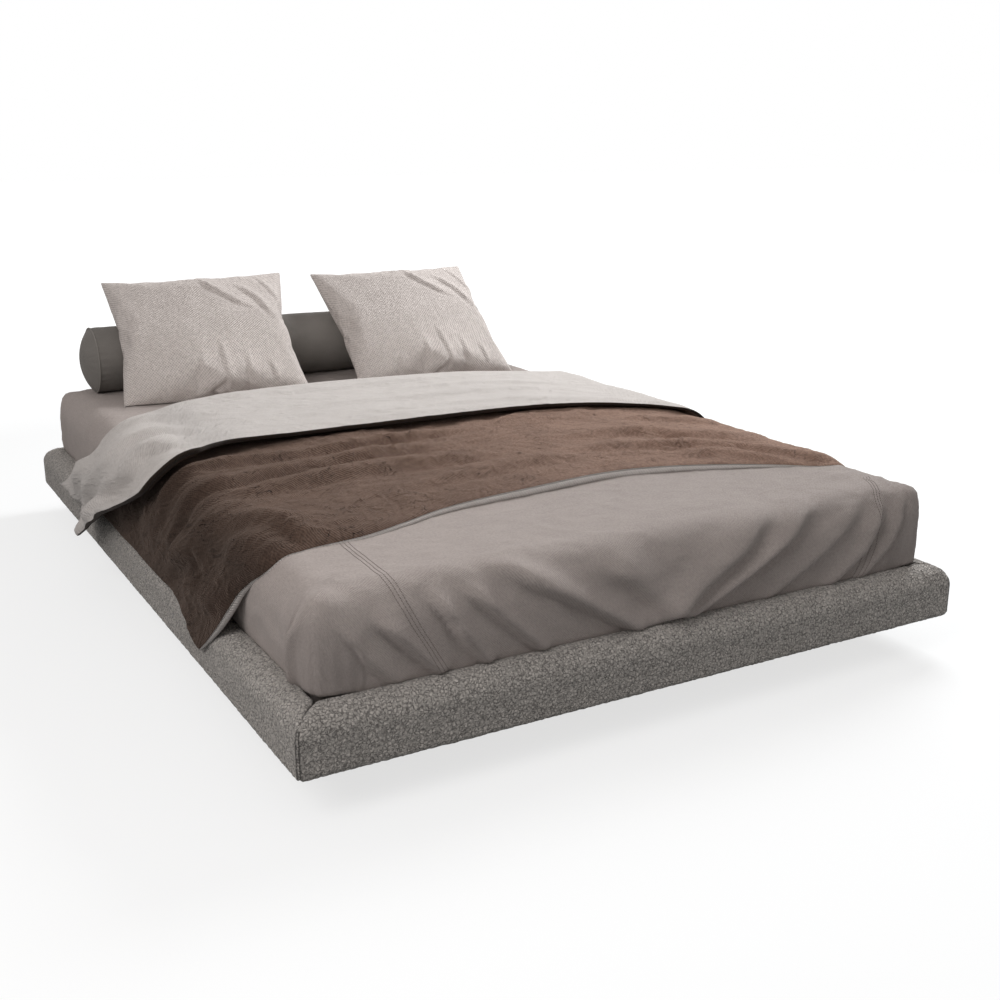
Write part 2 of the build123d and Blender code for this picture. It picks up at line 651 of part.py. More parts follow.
def duvet():
    """The duvet: one layer to the foot side, doubled where it is folded back towards the foot."""
    turnback_start = FLUTE_COUNT - TURNBACK_FLUTES
    lower = drape(-DUVET_FOOT_REACH, FLUTE_COUNT, SOFT_GAP, DUVET_THICKNESS, TIP_HEIGHT, FLUTE_SWELL)
    turnback = drape(
        turnback_start * FLUTE - DUVET_FOOT_REACH,
        TURNBACK_FLUTES,
        DUVET_THICKNESS / 2,
        2 * DUVET_THICKNESS,
        TIP_HEIGHT,
        FLUTE_SWELL,
    )
    lower_top = MATTRESS_TOP + DUVET_THICKNESS
    lower = shaped_layer(lower, FRONT_LINE, FRONT_TIP, lower_top, LOWER_SWELLS)
    turnback_top = lower_top + DUVET_THICKNESS
    turnback = shaped_layer(turnback, FREE_LINE, FREE_TIP, turnback_top, TURNBACK_SWELLS)
    return lower + turnback


def pillow():
    """A plump pillow with drawn-in edges and flat corners, standing on its lower edge at z = 0."""
    sections = []
    shares = zip(PILLOW_STATION_SHARES, PILLOW_HEIGHT_SHARES, PILLOW_THICKNESS_SHARES)
    for station, height_share, thickness_share in shares:
        half_height = PILLOW_HEIGHT * height_share / 2
        half_thickness = PILLOW_THICKNESS * thickness_share / 2
        lower = (0, PILLOW_HEIGHT / 2 - half_height)
        upper = (0, PILLOW_HEIGHT / 2 + half_height)
        front = ThreePointArc(lower, (-half_thickness, PILLOW_HEIGHT / 2), upper)
        back = ThreePointArc(upper, (half_thickness, PILLOW_HEIGHT / 2), lower)
        plane = Plane(origin=(PILLOW_WIDTH * station / 2, 0, 0), x_dir=(0, 1, 0), z_dir=(1, 0, 0))
        sections.append(plane * make_face([front, back]))
    return loft(sections)


def propped_pillow(x, turn, support):
    """A pillow leant back, turned, stood on the sheet and slid back until it almost touches."""
    leant = Rot(0, 0, turn) * Rot(-PILLOW_LEAN, 0, 0) * pillow()
    lift = MATTRESS_TOP + SOFT_GAP - leant.bounding_box().min.Z
    start_y = BOLSTER_Y - BOLSTER_RADIUS - PILLOW_HEIGHT
    placed = Pos(x, start_y, lift) * leant
    for _ in range(SETTLE_STEPS):
        placed = Pos(0, placed.distance_to(support) - SOFT_GAP, 0) * placed
    return placed


def bolster_body(inset):
    """The bolster drawn in by the inset: a long cylinder with a shallow dome at each end."""
    radius = BOLSTER_RADIUS - inset
    rise = BOLSTER_END_DOME - inset
    seam = BOLSTER_SEAM_LENGTH / 2
    dome_radius = (radius**2 + rise**2) / (2 * rise)
    dome_x = seam + rise - dome_radius
    half_angle = math.asin(radius / dome_radius) / 2
    middle = (dome_x + dome_radius * math.cos(half_angle), dome_radius * math.sin(half_angle))
    outline = [
        Line((-seam - rise, 0), (seam + rise, 0)),
        ThreePointArc((seam + rise, 0), middle, (seam, radius)),
        Line((seam, radius), (-seam, radius)),
        ThreePointArc((-seam, radius), other_side(middle), (-seam - rise, 0)),
    ]
    return Pos(0, BOLSTER_Y, BOLSTER_Z) * revolve(make_face(outline), Axis.X)


def piping_ring(x_side, radius):
    """The round cord sewn into the seam at one end of the bolster."""
    ring = Plane.YZ * Torus(PIPING_RING_RADIUS, radius)
    return Pos(x_side * BOLSTER_SEAM_LENGTH / 2, BOLSTER_Y, BOLSTER_Z) * ring


def rail_nodes():
    """Board, foam and cover of the four rails."""
    bolts = corner_bolt_list()
    screws = bracket_screw_list()
    nodes = {}
    for side in RAIL_SIDES:
        nodes[f"rail_board_{side}"] = drilled(rail_piece(rail_board_face(), side), bolts + screws)
        nodes[f"rail_foam_{side}"] = rail_piece(rail_foam_face(), side)
        nodes[f"rail_cover_{side}"] = rail_piece(rail_cover_face(), side)
    return nodes


def frame_nodes():
    """Brackets, bearers, battens and slats."""
    bolts = corner_bolt_list()
    bracket_screws = bracket_screw_list()
    frame_screws = frame_screw_list()
    sides = (-1, 1)
    corners = [corner_bracket(x_side, y_side) for x_side in sides for y_side in sides]
    angles = [bearer_bracket(x_side, y) for x_side in sides for y in BEARER_PLACES]
    nodes = {
        "corner_brackets": Compound([drilled(piece, bolts) for piece in corners]),
        "corner_bolts": Compound([fixing.body() for fixing in bolts]),
        "bearer_brackets": Compound([drilled(piece, bracket_screws) for piece in angles]),
        "bracket_screws": Compound([fixing.body() for fixing in bracket_screws]),
        "frame_screws": Compound([fixing.body() for fixing in frame_screws]),
    }
    for number, y in enumerate(BEARER_PLACES, 1):
        nodes[f"bearer_{number}"] = drilled(bearer(y), bracket_screws + frame_screws)
    for name, (x, y_end) in BATTEN_PLACES.items():
        nodes[f"batten_{name}"] = drilled(batten(x, y_end), frame_screws)
    for number, y in enumerate(SLAT_PLACES, 1):
        nodes[f"slat_{number:02d}"] = drilled(slat(y), frame_screws)
    return nodes


def plinth_nodes():
    """The recessed plinth, its blocks and inserts, and the six levelling feet."""
    screws = frame_screw_list()
    nodes = {name: drilled(board, screws) for name, board in plinth_boards().items()}
    blocks = [drilled(plinth_block(x, y), screws) for x, y in FOOT_PLACES.values()]
    nodes["plinth_blocks"] = Compound(blocks)
    nodes["thread_inserts"] = Compound([thread_insert(x, y) for x, y in FOOT_PLACES.values()])
    for name, (x, y) in FOOT_PLACES.items():
        nodes[f"levelling_foot_{name}"] = levelling_foot(x, y)
    return nodes


def bedding_nodes():
    """Mattress, sheet, duvet, bolster and pillows."""
    core = mattress_body(SHEET_THICKNESS + TICKING_THICKNESS)
    support = bolster_body(0)
    bolster_cover = support - bolster_body(BOLSTER_COVER_THICKNESS)
    for x_side in (-1, 1):
        bolster_cover = bolster_cover - piping_ring(x_side, PIPING_RADIUS + FIXING_CLEARANCE)
    return {
        "mattress_core": core,
        "mattress_cover": mattress_body(SHEET_THICKNESS) - core,
        "fitted_sheet": fitted_sheet(),
        "duvet": duvet(),
        "bolster_core": bolster_body(BOLSTER_COVER_THICKNESS),
        "bolster_cover": bolster_cover,
        "bolster_piping": Compound([piping_ring(x_side, PIPING_RADIUS) for x_side in (-1, 1)]),
        "pillow_left": propped_pillow(PILLOW_LEFT_X, PILLOW_LEFT_TURN, support),
        "pillow_right": propped_pillow(PILLOW_RIGHT_X, PILLOW_RIGHT_TURN, support),
    }


def main():
    """Build every node and write one file for each."""
    os.makedirs("parts", exist_ok=True)
    nodes = {**rail_nodes(), **frame_nodes(), **plinth_nodes(), **bedding_nodes()}
    for name, shape in nodes.items():
        export_step(shape, f"parts/{name}.step")


main()
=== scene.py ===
"""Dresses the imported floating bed: upholstery, bedding, timber and steel, light, floor and camera."""

from __future__ import annotations

import itertools
import json
import logging
import math
from dataclasses import dataclass
from enum import Enum
from typing import ClassVar

import bmesh
import bpy
import numpy as np
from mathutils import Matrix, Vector
from mathutils.bvhtree import BVHTree


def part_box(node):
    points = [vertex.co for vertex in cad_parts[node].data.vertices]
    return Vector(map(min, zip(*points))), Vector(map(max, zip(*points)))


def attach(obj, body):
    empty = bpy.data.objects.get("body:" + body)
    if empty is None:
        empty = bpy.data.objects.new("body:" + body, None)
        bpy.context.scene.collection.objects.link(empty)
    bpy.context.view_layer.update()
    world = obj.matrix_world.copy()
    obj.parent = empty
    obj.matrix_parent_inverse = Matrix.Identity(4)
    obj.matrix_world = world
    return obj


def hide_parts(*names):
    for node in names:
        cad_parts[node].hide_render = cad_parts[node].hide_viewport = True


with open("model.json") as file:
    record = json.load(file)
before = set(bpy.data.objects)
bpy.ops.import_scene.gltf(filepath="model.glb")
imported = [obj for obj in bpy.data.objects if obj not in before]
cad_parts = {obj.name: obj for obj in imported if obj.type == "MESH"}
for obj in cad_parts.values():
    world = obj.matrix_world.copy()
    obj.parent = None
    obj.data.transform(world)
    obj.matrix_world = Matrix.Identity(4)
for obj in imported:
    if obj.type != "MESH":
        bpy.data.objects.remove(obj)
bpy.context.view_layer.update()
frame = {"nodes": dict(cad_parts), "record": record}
ROOT_BODY = "bed"
TINY_EDGE = 1e-6
LOG = logging.getLogger("floating_bed")

Colour = tuple[float, float, float]
Point = tuple[float, float]
Path = tuple[Point, ...]
WHITE: Colour = (1.0, 1.0, 1.0)
WARM: Colour = (1.0, 0.955, 0.93)


class RailSide(Enum):
    """A rail of the platform: its outward direction across and along the bed."""

    RIGHT = (1, 0)
    LEFT = (-1, 0)
    HEAD = (0, 1)
    FOOT = (0, -1)


class PillowPlace(Enum):
    """Where a pillow stands, seen from the foot of the bed."""

    LEFT = "left"
    RIGHT = "right"


class CrinkleField:
    """Smooth two-dimensional noise with a fixed seed, for the relief of cloth."""

    TABLE_SIZE = 256
    GAIN = 1.5
    OCTAVE_SHIFT = 17.3
    RIDGE_SHIFT = 9.1
    DRIFT_SHIFTS = (5.1, 43.7)

    def __init__(self, seed: int) -> None:
        """Draws the lattice's directions.

        Args:
            seed: the number that fixes the pattern.
        """
        rng = np.random.default_rng(seed)
        angles = rng.uniform(0.0, 2.0 * math.pi, self.TABLE_SIZE)
        self.directions = np.stack([np.cos(angles), np.sin(angles)], axis=1)
        self.table = rng.permutation(self.TABLE_SIZE)

    def noise(self, places: np.ndarray) -> np.ndarray:
        """One octave, about -1 to 1.

        Args:
            places: an array of two-dimensional places, one cell of the pattern to a unit.

        Returns:
            A value for each place.
        """
        cells = np.floor(places).astype(int)
        local = places - cells
        ease = local**3 * (local * (local * 6.0 - 15.0) + 10.0)
        total = np.zeros(len(places))
        for step_x, step_y in itertools.product((0, 1), repeat=2):
            first = self.table[(cells[:, 0] + step_x) % self.TABLE_SIZE]
            chosen = self.table[(first + cells[:, 1] + step_y) % self.TABLE_SIZE]
            away = local - np.array([step_x, step_y])
            slope = np.sum(self.directions[chosen] * away, axis=1)
            share_x = ease[:, 0] if step_x else 1.0 - ease[:, 0]
            share_y = ease[:, 1] if step_y else 1.0 - ease[:, 1]
            total += slope * share_x * share_y
        return total * self.GAIN

    def layered(self, places: np.ndarray, octaves: int) -> np.ndarray:
        """Several octaves, each half as long and half as high as the last.

        Args:
            places: two-dimensional places.
            octaves: how many are added.

        Returns:
            A value for each place, about -1 to 1.
        """
        total = np.zeros(len(places))
        for octave in range(octaves):
            total += self.noise(places * 2.0**octave + self.OCTAVE_SHIFT * octave) / 2.0**octave
        return total

    def ridged(self, places: np.ndarray, octaves: int, warp: float) -> np.ndarray:
        """Sharp-crested creases that wander, 0 in the hollows and 1 on the crests.

        Args:
            places: two-dimensional places.
            octaves: how many are added.
            warp: how far the creases wander, in cells.

        Returns:
            A value for each place.
        """
        drift = np.stack([self.noise(places * 0.5 + shift) for shift in self.DRIFT_SHIFTS], axis=1)
        moved = places + warp * drift
        total = np.zeros(len(places))
        weight = 0.0
        for octave in range(octaves):
            crest = 1.0 - np.abs(self.noise(moved * 2.0**octave + self.RIDGE_SHIFT * octave))
            total += crest**3 / 2.0**octave
            weight += 1.0 / 2.0**octave
        return total / weight


def smooth_step(value: np.ndarray, low: float, high: float) -> np.ndarray:
    """An eased step from 0 at low to 1 at high; the two may come in either order."""
    share = np.clip((value - low) / (high - low), 0.0, 1.0)
    return share * share * (3.0 - 2.0 * share)


def smooth_curve(place: np.ndarray, table: Path) -> np.ndarray:
    """A value read from a table of places and values, eased between its rows.

    Args:
        place: where the value is wanted.
        table: pairs of place and value, in order of place.

    Returns:
        The value for each place.
    """
    xs = np.array([row[0] for row in table])
    ys = np.array([row[1] for row in table])
    slopes = np.gradient(ys, xs)
    index = np.clip(np.searchsorted(xs, place) - 1, 0, len(xs) - 2)
    gap = xs[index + 1] - xs[index]
    t = np.clip((place - xs[index]) / gap, 0.0, 1.0)
    start = (2 * t**3 - 3 * t**2 + 1) * ys[index] + (t**3 - 2 * t**2 + t) * gap * slopes[index]
    end = (3 * t**2 - 2 * t**3) * ys[index + 1] + (t**3 - t**2) * gap * slopes[index + 1]
    return start + end


@dataclass(frozen=True)
class Fold:
    """A raised or sunk line in a cloth, in the cloth's own flat coordinates.

    The side to the right of the line, as it is drawn, may sink as the line rises.
    """

    line: Path
    half_width: float
    height: float
    hollow: float = 0.0
    open_start: bool = False
    open_end: bool = False

    STEEP: ClassVar[float] = 0.7
    GENTLE: ClassVar[float] = 1.5
    TAPER: ClassVar[float] = 0.35
    TROUGH_PLACE: ClassVar[float] = 1.25
    TROUGH_WIDTH: ClassVar[float] = 0.6

    def relief(self, cloth: np.ndarray) -> np.ndarray:
        """How far the fold lifts each place of the cloth.

        Args:
            cloth: flat places on the cloth.

        Returns:
            The lift of each place, in metres.
        """
        points = np.array(self.line)
        lengths = np.linalg.norm(np.diff(points, axis=0), axis=1)
        before = np.concatenate([[0.0], np.cumsum(lengths)])
        nearest = np.full(len(cloth), 1e9)
        signed = np.zeros(len(cloth))
        share = np.zeros(len(cloth))
        for index, length in enumerate(lengths):
            along = (points[index + 1] - points[index]) / length
            away = cloth - points[index]
            reach = np.clip(away @ along, 0.0, length)
            rest = away - reach[:, None] * along
            distance = np.linalg.norm(rest, axis=1)
            closer = distance < nearest
            side = np.sign(away[:, 0] * along[1] - away[:, 1] * along[0])
            nearest = np.where(closer, distance, nearest)
            signed = np.where(closer, distance * side, signed)
            share = np.where(closer, (before[index] + reach) / before[-1], share)
        taper = np.ones(len(cloth))
        if not self.open_start:
            taper *= smooth_step(share, 0.0, self.TAPER)
        if not self.open_end:
            taper *= smooth_step(share, 1.0, 1.0 - self.TAPER)
        spread = np.where(signed > 0.0, self.STEEP, self.GENTLE) * self.half_width
        crest = np.exp(-((nearest / spread) ** 2))
        beside = signed - self.TROUGH_PLACE * self.half_width
        trough = np.exp(-((beside / (self.TROUGH_WIDTH * self.half_width)) ** 2))
        return self.height * taper * (crest - 0.5 * self.hollow * trough)


def folded_relief(folds: tuple[Fold, ...], cloth: np.ndarray) -> np.ndarray:
    """The lift of all folds together at each flat place.

    Args:
        folds: the folds.
        cloth: flat places on the cloth.

    Returns:
        The lift of each place, in metres.
    """
    total = np.zeros(len(cloth))
    for fold in folds:
        total += fold.relief(cloth)
    return total


def crackle(field: CrinkleField, places: np.ndarray, height: float) -> np.ndarray:
    """Short sharp creases that come in patches.

    Args:
        field: the noise they are drawn from.
        places: two-dimensional places, one crease or so to a unit.
        height: how high the sharpest stand.

    Returns:
        The lift of each place.
    """
    crest = np.clip(field.ridged(places, 2, 1.1) - 0.45, 0.0, 1.0) / 0.55
    patch = smooth_step(field.noise(places * 0.23 + 71.0), -0.35, 0.45)
    return height * crest * (0.25 + 0.75 * patch)


def between(first: np.ndarray, last: np.ndarray, shares: np.ndarray) -> np.ndarray:
    """Rows on the way from a first row to a last one, one for each share of the way."""
    return first + (last - first) * shares[:, None]


def grid_faces(rows: int, columns: int, closed: bool = False, start: int = 0) -> np.ndarray:
    """The quads of a grid of points stored row by row.

    Args:
        rows: how many rows of points.
        columns: how many points in a row.
        closed: whether the last column joins the first.
        start: the number of the grid's first point.

    Returns:
        An array of four point numbers for each quad.
    """
    numbers = np.arange(rows * columns).reshape(rows, columns) + start
    if closed:
        numbers = np.concatenate([numbers, numbers[:, :1]], axis=1)
    quads = [numbers[:-1, :-1], numbers[:-1, 1:], numbers[1:, 1:], numbers[1:, :-1]]
    return np.stack([quad.ravel() for quad in quads], axis=1)


def tube_faces(rows: int, columns: int) -> list[list[int]]:
    """The faces of a tube of points stored ring by ring, with one face over each end."""
    faces = grid_faces(rows, columns, closed=True).tolist()
    return [*faces, list(range(columns)), list(range((rows - 1) * columns, rows * columns))]


def grid_normals(points: np.ndarray, closed: bool = False) -> np.ndarray:
    """Unit normals of a grid of points, from its rows and columns.

    Args:
        points: rows by columns by three.
        closed: whether the last column joins the first.

    Returns:
        Unit vectors in the same layout.
    """
    along = np.gradient(points, axis=0)
    if closed:
        across = (np.roll(points, -1, axis=1) - np.roll(points, 1, axis=1)) / 2.0
    else:
        across = np.gradient(points, axis=1)
    normals = np.cross(across, along)
    lengths = np.linalg.norm(normals, axis=2, keepdims=True)
    return normals / np.maximum(lengths, 1e-12)


@dataclass
class MeshParts:
    """The points, faces, flat cloth coordinates and material numbers of a mesh in the making."""

    points: np.ndarray
    faces: list | np.ndarray
    flat: np.ndarray | None = None
    finishes: np.ndarray | None = None

    def build(self, name: str, materials: list[bpy.types.Material]) -> bpy.types.Object:
        """Makes the object, with its faces smooth.

        Args:
            name: the piece's name.
            materials: its materials, in the order of the material numbers.

        Returns:
            The new object, at the origin.
        """
        mesh = bpy.data.meshes.new(name)
        faces = self.faces if isinstance(self.faces, list) else self.faces.tolist()
        mesh.from_pydata(self.points.tolist(), [], faces)
        if self.flat is not None:
            corners = np.zeros(len(mesh.loops), dtype=np.int32)
            mesh.loops.foreach_get("vertex_index", corners)
            layer = mesh.uv_layers.new(name="cloth")
            layer.data.foreach_set("uv", self.flat[corners].astype(np.float32).ravel())
        if self.finishes is not None:
            mesh.polygons.foreach_set("material_index", self.finishes.astype(np.int32))
        for material in materials:
            mesh.materials.append(material)
        smooth_faces(mesh)
        mesh.validate()
        mesh.update()
        piece = bpy.data.objects.new(name, mesh)
        bpy.context.scene.collection.objects.link(piece)
        return piece


def smooth_faces(mesh: bpy.types.Mesh) -> None:
    """Shades every face of a mesh smooth."""
    mesh.polygons.foreach_set("use_smooth", np.ones(len(mesh.polygons), dtype=bool))


def turn_outwards(piece: bpy.types.Object, merge: float = 0.0) -> None:
    """Makes every face of a piece point outwards.

    Args:
        piece: the object whose mesh is cleaned.
        merge: how close points are to be merged first; at 0 none are.
    """
    shape = bmesh.new()
    shape.from_mesh(piece.data)
    if merge:
        bmesh.ops.remove_doubles(shape, verts=shape.verts, dist=merge)
        bmesh.ops.dissolve_degenerate(shape, edges=shape.edges, dist=TINY_EDGE)
    bmesh.ops.recalc_face_normals(shape, faces=shape.faces)
    shape.to_mesh(piece.data)
    shape.free()
    smooth_faces(piece.data)


def read_vertices(mesh: bpy.types.Mesh, field: str) -> np.ndarray:
    """The points ("co") or normals ("normal") of a mesh, a row for each vertex.

    Args:
        mesh: the mesh.
        field: which of the two.

    Returns:
        Three numbers for each vertex.
    """
    found = np.zeros(len(mesh.vertices) * 3, np.float32)
    mesh.vertices.foreach_get(field, found)
    return found.reshape(-1, 3).astype(float)


def write_points(mesh: bpy.types.Mesh, points: np.ndarray) -> None:
    """Moves the points of a mesh."""
    mesh.vertices.foreach_set("co", points.astype(np.float32).ravel())
    mesh.update()


def write_attribute(mesh: bpy.types.Mesh, name: str, values: np.ndarray) -> None:
    """Gives each point of a mesh a number that shaders and recipes read by its name."""
    layer = mesh.attributes.new(name, "FLOAT", "POINT")
    layer.data.foreach_set("value", values.astype(np.float32).ravel())


def bake_modifiers(piece: bpy.types.Object) -> None:
    """Turns a piece's evaluated shape into its plain mesh and removes its modifiers.

    Args:
        piece: the object.
    """
    bpy.context.view_layer.update()
    depsgraph = bpy.context.evaluated_depsgraph_get()
    mesh = bpy.data.meshes.new_from_object(piece.evaluated_get(depsgraph), depsgraph=depsgraph)
    piece.modifiers.clear()
    piece.data = mesh
    smooth_faces(mesh)


class NodeTree:
    """A short hand for building a tree of nodes."""

    def __init__(self, tree: bpy.types.NodeTree) -> None:
        """Takes the tree that is filled."""
        self.tree = tree

    def lead(self, value: object, socket: bpy.types.NodeSocket) -> None:
        """Links an output socket to an input, or writes a plain value into it.

        Args:
            value: an output socket or a plain value.
            socket: the input.
        """
        if isinstance(value, bpy.types.NodeSocket):
            self.tree.links.new(value, socket)
        else:
            socket.default_value = value

    def add(self, kind: str, inputs: dict | None = None, **settings: object) -> bpy.types.Node:
        """Adds a node.

        Args:
            kind: Blender's name of the node's type.
            inputs: values or output sockets for its inputs, by name or number.
            settings: its other properties.

        Returns:
            The node.
        """
        node = self.tree.nodes.new(kind)
        for name, value in settings.items():
            setattr(node, name, value)
        for key, value in (inputs or {}).items():
            self.lead(value, node.inputs[key])
        return node

    def sums(self, kind: str, *values: object) -> bpy.types.NodeSocket:
        """The result of a Math node with the given values or sockets."""
        return self.add("ShaderNodeMath", dict(enumerate(values)), operation=kind).outputs[0]

    def vectors(self, kind: str, first: object, second: object) -> bpy.types.NodeSocket:
        """The result of a Vector Math node; to scale, the second value is the factor."""
        key = "Scale" if kind == "SCALE" else 1
        return self.add("ShaderNodeVectorMath", {0: first, key: second}, operation=kind).outputs[0]

    def noise(self, vector: bpy.types.NodeSocket, scale: object, **inputs: float) -> bpy.types.Node:
        """A Noise Texture node, whose inputs after Vector and Scale are given by name."""
        return self.add("ShaderNodeTexNoise", {"Vector": vector, "Scale": scale, **inputs})

    def ranged(
        self, value: bpy.types.NodeSocket, span: Point, results: tuple[object, object], eased: bool = False
    ) -> bpy.types.NodeSocket:
        """The result of a Map Range node.

        Args:
            value: what is read.
            span: the two values between which the result changes.
            results: the results at these two values.
            eased: whether the change between them is eased.

        Returns:
            The output socket.
        """
        kind = "SMOOTHSTEP" if eased else "LINEAR"
        inputs = dict(enumerate((value, *span, *results)))
        return self.add("ShaderNodeMapRange", inputs, interpolation_type=kind).outputs[0]

    def mixed(self, share: object, first: object, second: object) -> bpy.types.NodeSocket:
        """A colour between two others, by a share that is kept between 0 and 1."""
        inputs = {0: share, 6: first, 7: second}
        return self.add("ShaderNodeMix", inputs, data_type="RGBA", clamp_factor=True).outputs[2]


class GroupTree(NodeTree):
    """A node group in the making, with named inputs and outputs."""

    SOCKET_TYPES: ClassVar[dict[type, str]] = {float: "NodeSocketFloat", tuple: "NodeSocketColor"}

    def __init__(self, kind: str, name: str, inputs: dict[str, object]) -> None:
        """Starts the group.

        Args:
            kind: the tree's type.
            name: the group's name.
            inputs: each input's default value, or the socket type where it has none.
        """
        super().__init__(bpy.data.node_groups.new(name, kind))
        for label, value in inputs.items():
            bare = isinstance(value, str)
            socket_type = value if bare else self.SOCKET_TYPES[type(value)]
            socket = self.tree.interface.new_socket(label, in_out="INPUT", socket_type=socket_type)
            if not bare:
                socket.default_value = value
        self.start = self.add("NodeGroupInput")

    def given(self, label: str) -> bpy.types.NodeSocket:
        """The socket that brings one of the group's inputs."""
        return self.start.outputs[label]

    def finish(self, socket_type: str, results: dict[str, bpy.types.NodeSocket]) -> bpy.types.NodeTree:
        """Makes the group's outputs and leads the results to them.

        Args:
            socket_type: the type of all outputs.
            results: the socket that each output shows, by the output's name.

        Returns:
            The finished group.
        """
        for label in results:
            self.tree.interface.new_socket(label, in_out="OUTPUT", socket_type=socket_type)
        self.add("NodeGroupOutput", results)
        return self.tree


class ShaderGroups:
    """The effects that several finishes share, each a shader node group built once."""

    def __init__(self) -> None:
        """Builds the groups."""
        self.weave = self._weave()
        self.crinkle = self._crinkle()
        self.mottle = self._mottle()
        self.curl = self._curl()
        self.grain = self._grain()

    @staticmethod
    def _start(name: str, inputs: dict[str, object]) -> GroupTree:
        """Starts a shader group that reads a vector first."""
        return GroupTree("ShaderNodeTree", name, {"Vector": "NodeSocketVector", **inputs})

    def _weave(self) -> bpy.types.NodeTree:
        """Crossing threads, plain or as a twill, with slubs.

        Returns:
            The group: Height and Slub for relief and colour, and Pit, 1 in the gaps between threads, where the
                finishes paint shade.
        """
        kit = self._start("weave", {"Threads": 400.0, "Twill": 0.0, "Slub": 0.5})
        vector, threads, twill = kit.given("Vector"), kit.given("Threads"), kit.given("Twill")
        wander = kit.sums("MULTIPLY", kit.noise(vector, 60.0, Detail=1.0).outputs[0], 0.0030)
        split = kit.add("ShaderNodeSeparateXYZ", {0: vector})
        across = kit.sums("ADD", split.outputs["X"], wander)
        along = kit.sums("ADD", split.outputs["Y"], wander)
        turn = kit.sums("MULTIPLY", threads, 2.0 * math.pi)
        warp = kit.sums("SINE", kit.sums("MULTIPLY", across, turn))
        weft = kit.sums("SINE", kit.sums("MULTIPLY", along, turn))
        plain = kit.sums("MULTIPLY_ADD", kit.sums("MULTIPLY", warp, weft), 0.5, 0.5)
        diagonal = kit.sums("MULTIPLY", kit.sums("ADD", across, along), turn)
        rib = kit.sums("MULTIPLY_ADD", kit.sums("SINE", diagonal), 0.5, 0.5)
        plain_part = kit.sums("MULTIPLY", plain, kit.sums("SUBTRACT", 1.0, twill))
        cloth = kit.sums("ADD", plain_part, kit.sums("MULTIPLY", rib, twill))
        slub = kit.noise(vector, kit.sums("MULTIPLY", threads, 0.9), Detail=2.0, Roughness=0.6).outputs[0]
        height = kit.sums("ADD", cloth, kit.sums("MULTIPLY", slub, kit.given("Slub")))
        uneven = kit.ranged(slub, (0.3, 0.7), (0.25, 1.0))
        pit = kit.sums("MULTIPLY", kit.ranged(cloth, (0.15, 0.75), (1.0, 0.0)), uneven)
        return kit.finish("NodeSocketFloat", {"Height": height, "Slub": slub, "Pit": pit})

    def _crinkle(self) -> bpy.types.NodeTree:
        """Fine wandering creases of washed cloth.

        Returns:
            The group: Height from 0 to 1, and Groove, 1 in a few sharp short creases.
        """
        kit = self._start("crinkle", {"Scale": 40.0, "Stretch": 1.0, "Fineness": 1.6})
        vector, scale = kit.given("Vector"), kit.given("Scale")
        split = kit.add("ShaderNodeSeparateXYZ", {0: vector}).outputs
        along = kit.sums("MULTIPLY", split["Y"], kit.given("Stretch"))
        join = kit.add("ShaderNodeCombineXYZ", {"X": split["X"], "Y": along, "Z": split["Z"]}).outputs[0]
        inputs = {"Detail": kit.given("Fineness"), "Roughness": 0.55, "Distortion": 0.8}
        ridges = kit.add(
            "ShaderNodeTexNoise",
            {"Vector": join, "Scale": scale, **inputs},
            noise_type="RIDGED_MULTIFRACTAL",
            normalize=True,
        )
        bend = kit.noise(join, scale, Detail=1.0, Distortion=1.5).outputs[0]
        line = kit.sums("ABSOLUTE", kit.sums("SUBTRACT", bend, 0.5))
        sharp = kit.ranged(line, (0.0, 0.014), (1.0, 0.0))
        few = kit.noise(vector, kit.sums("MULTIPLY", scale, 0.45), Detail=2.0).outputs[0]
        groove = kit.sums("MULTIPLY", sharp, kit.ranged(few, (0.52, 0.62), (0.0, 1.0)))
        return kit.finish("NodeSocketFloat", {"Height": ridges.outputs[0], "Groove": groove})

    def _mottle(self) -> bpy.types.NodeTree:
        """Slow changes between two colours, as cloth and paint have.

        Returns:
            The group: Color.
        """
        shades = {"Light": opaque((0.5, 0.5, 0.5)), "Dark": opaque((0.4, 0.4, 0.4))}
        kit = self._start("mottle", {"Scale": 8.0, **shades, "Fleck": 0.0})
        cloud = kit.noise(kit.given("Vector"), kit.given("Scale"), Detail=5.0, Roughness=0.6).outputs[0]
        share = kit.sums("ADD", kit.ranged(cloud, (0.3, 0.7), (0.0, 1.0)), kit.given("Fleck"))
        colour = kit.mixed(share, kit.given("Light"), kit.given("Dark"))
        return kit.finish("NodeSocketColor", {"Color": colour})

    def _curl(self) -> bpy.types.NodeTree:
        """Looped yarn: small wandering curls with gaps between them, which the boucle paints dark as shade.

        Returns:
            The group: Height from 0 to 1 and Gap from 0 to 1.
        """
        kit = self._start("curl", {"Scale": 150.0})
        vector, scale = kit.given("Vector"), kit.given("Scale")
        bend = kit.noise(vector, scale)
        pull = kit.vectors("SCALE", bend.outputs["Color"], kit.sums("DIVIDE", 1.1, scale))
        cells = kit.add(
            "ShaderNodeTexVoronoi",
            {"Vector": kit.vectors("ADD", vector, pull), "Scale": scale},
            feature="DISTANCE_TO_EDGE",
        ).outputs["Distance"]
        broken = kit.ranged(bend.outputs[0], (0.36, 0.56), (0.1, 1.0))
        gap = kit.sums("MULTIPLY", kit.ranged(cells, (0.02, 0.16), (1.0, 0.0)), broken)
        body = kit.ranged(cells, (0.0, 0.3), (0.0, 1.0), eased=True)
        fuzz = kit.noise(vector, kit.sums("MULTIPLY", scale, 5.0), Detail=2.0).outputs[0]
        height = kit.sums("MULTIPLY_ADD", fuzz, 0.35, body)
        return kit.finish("NodeSocketFloat", {"Height": height, "Gap": gap})

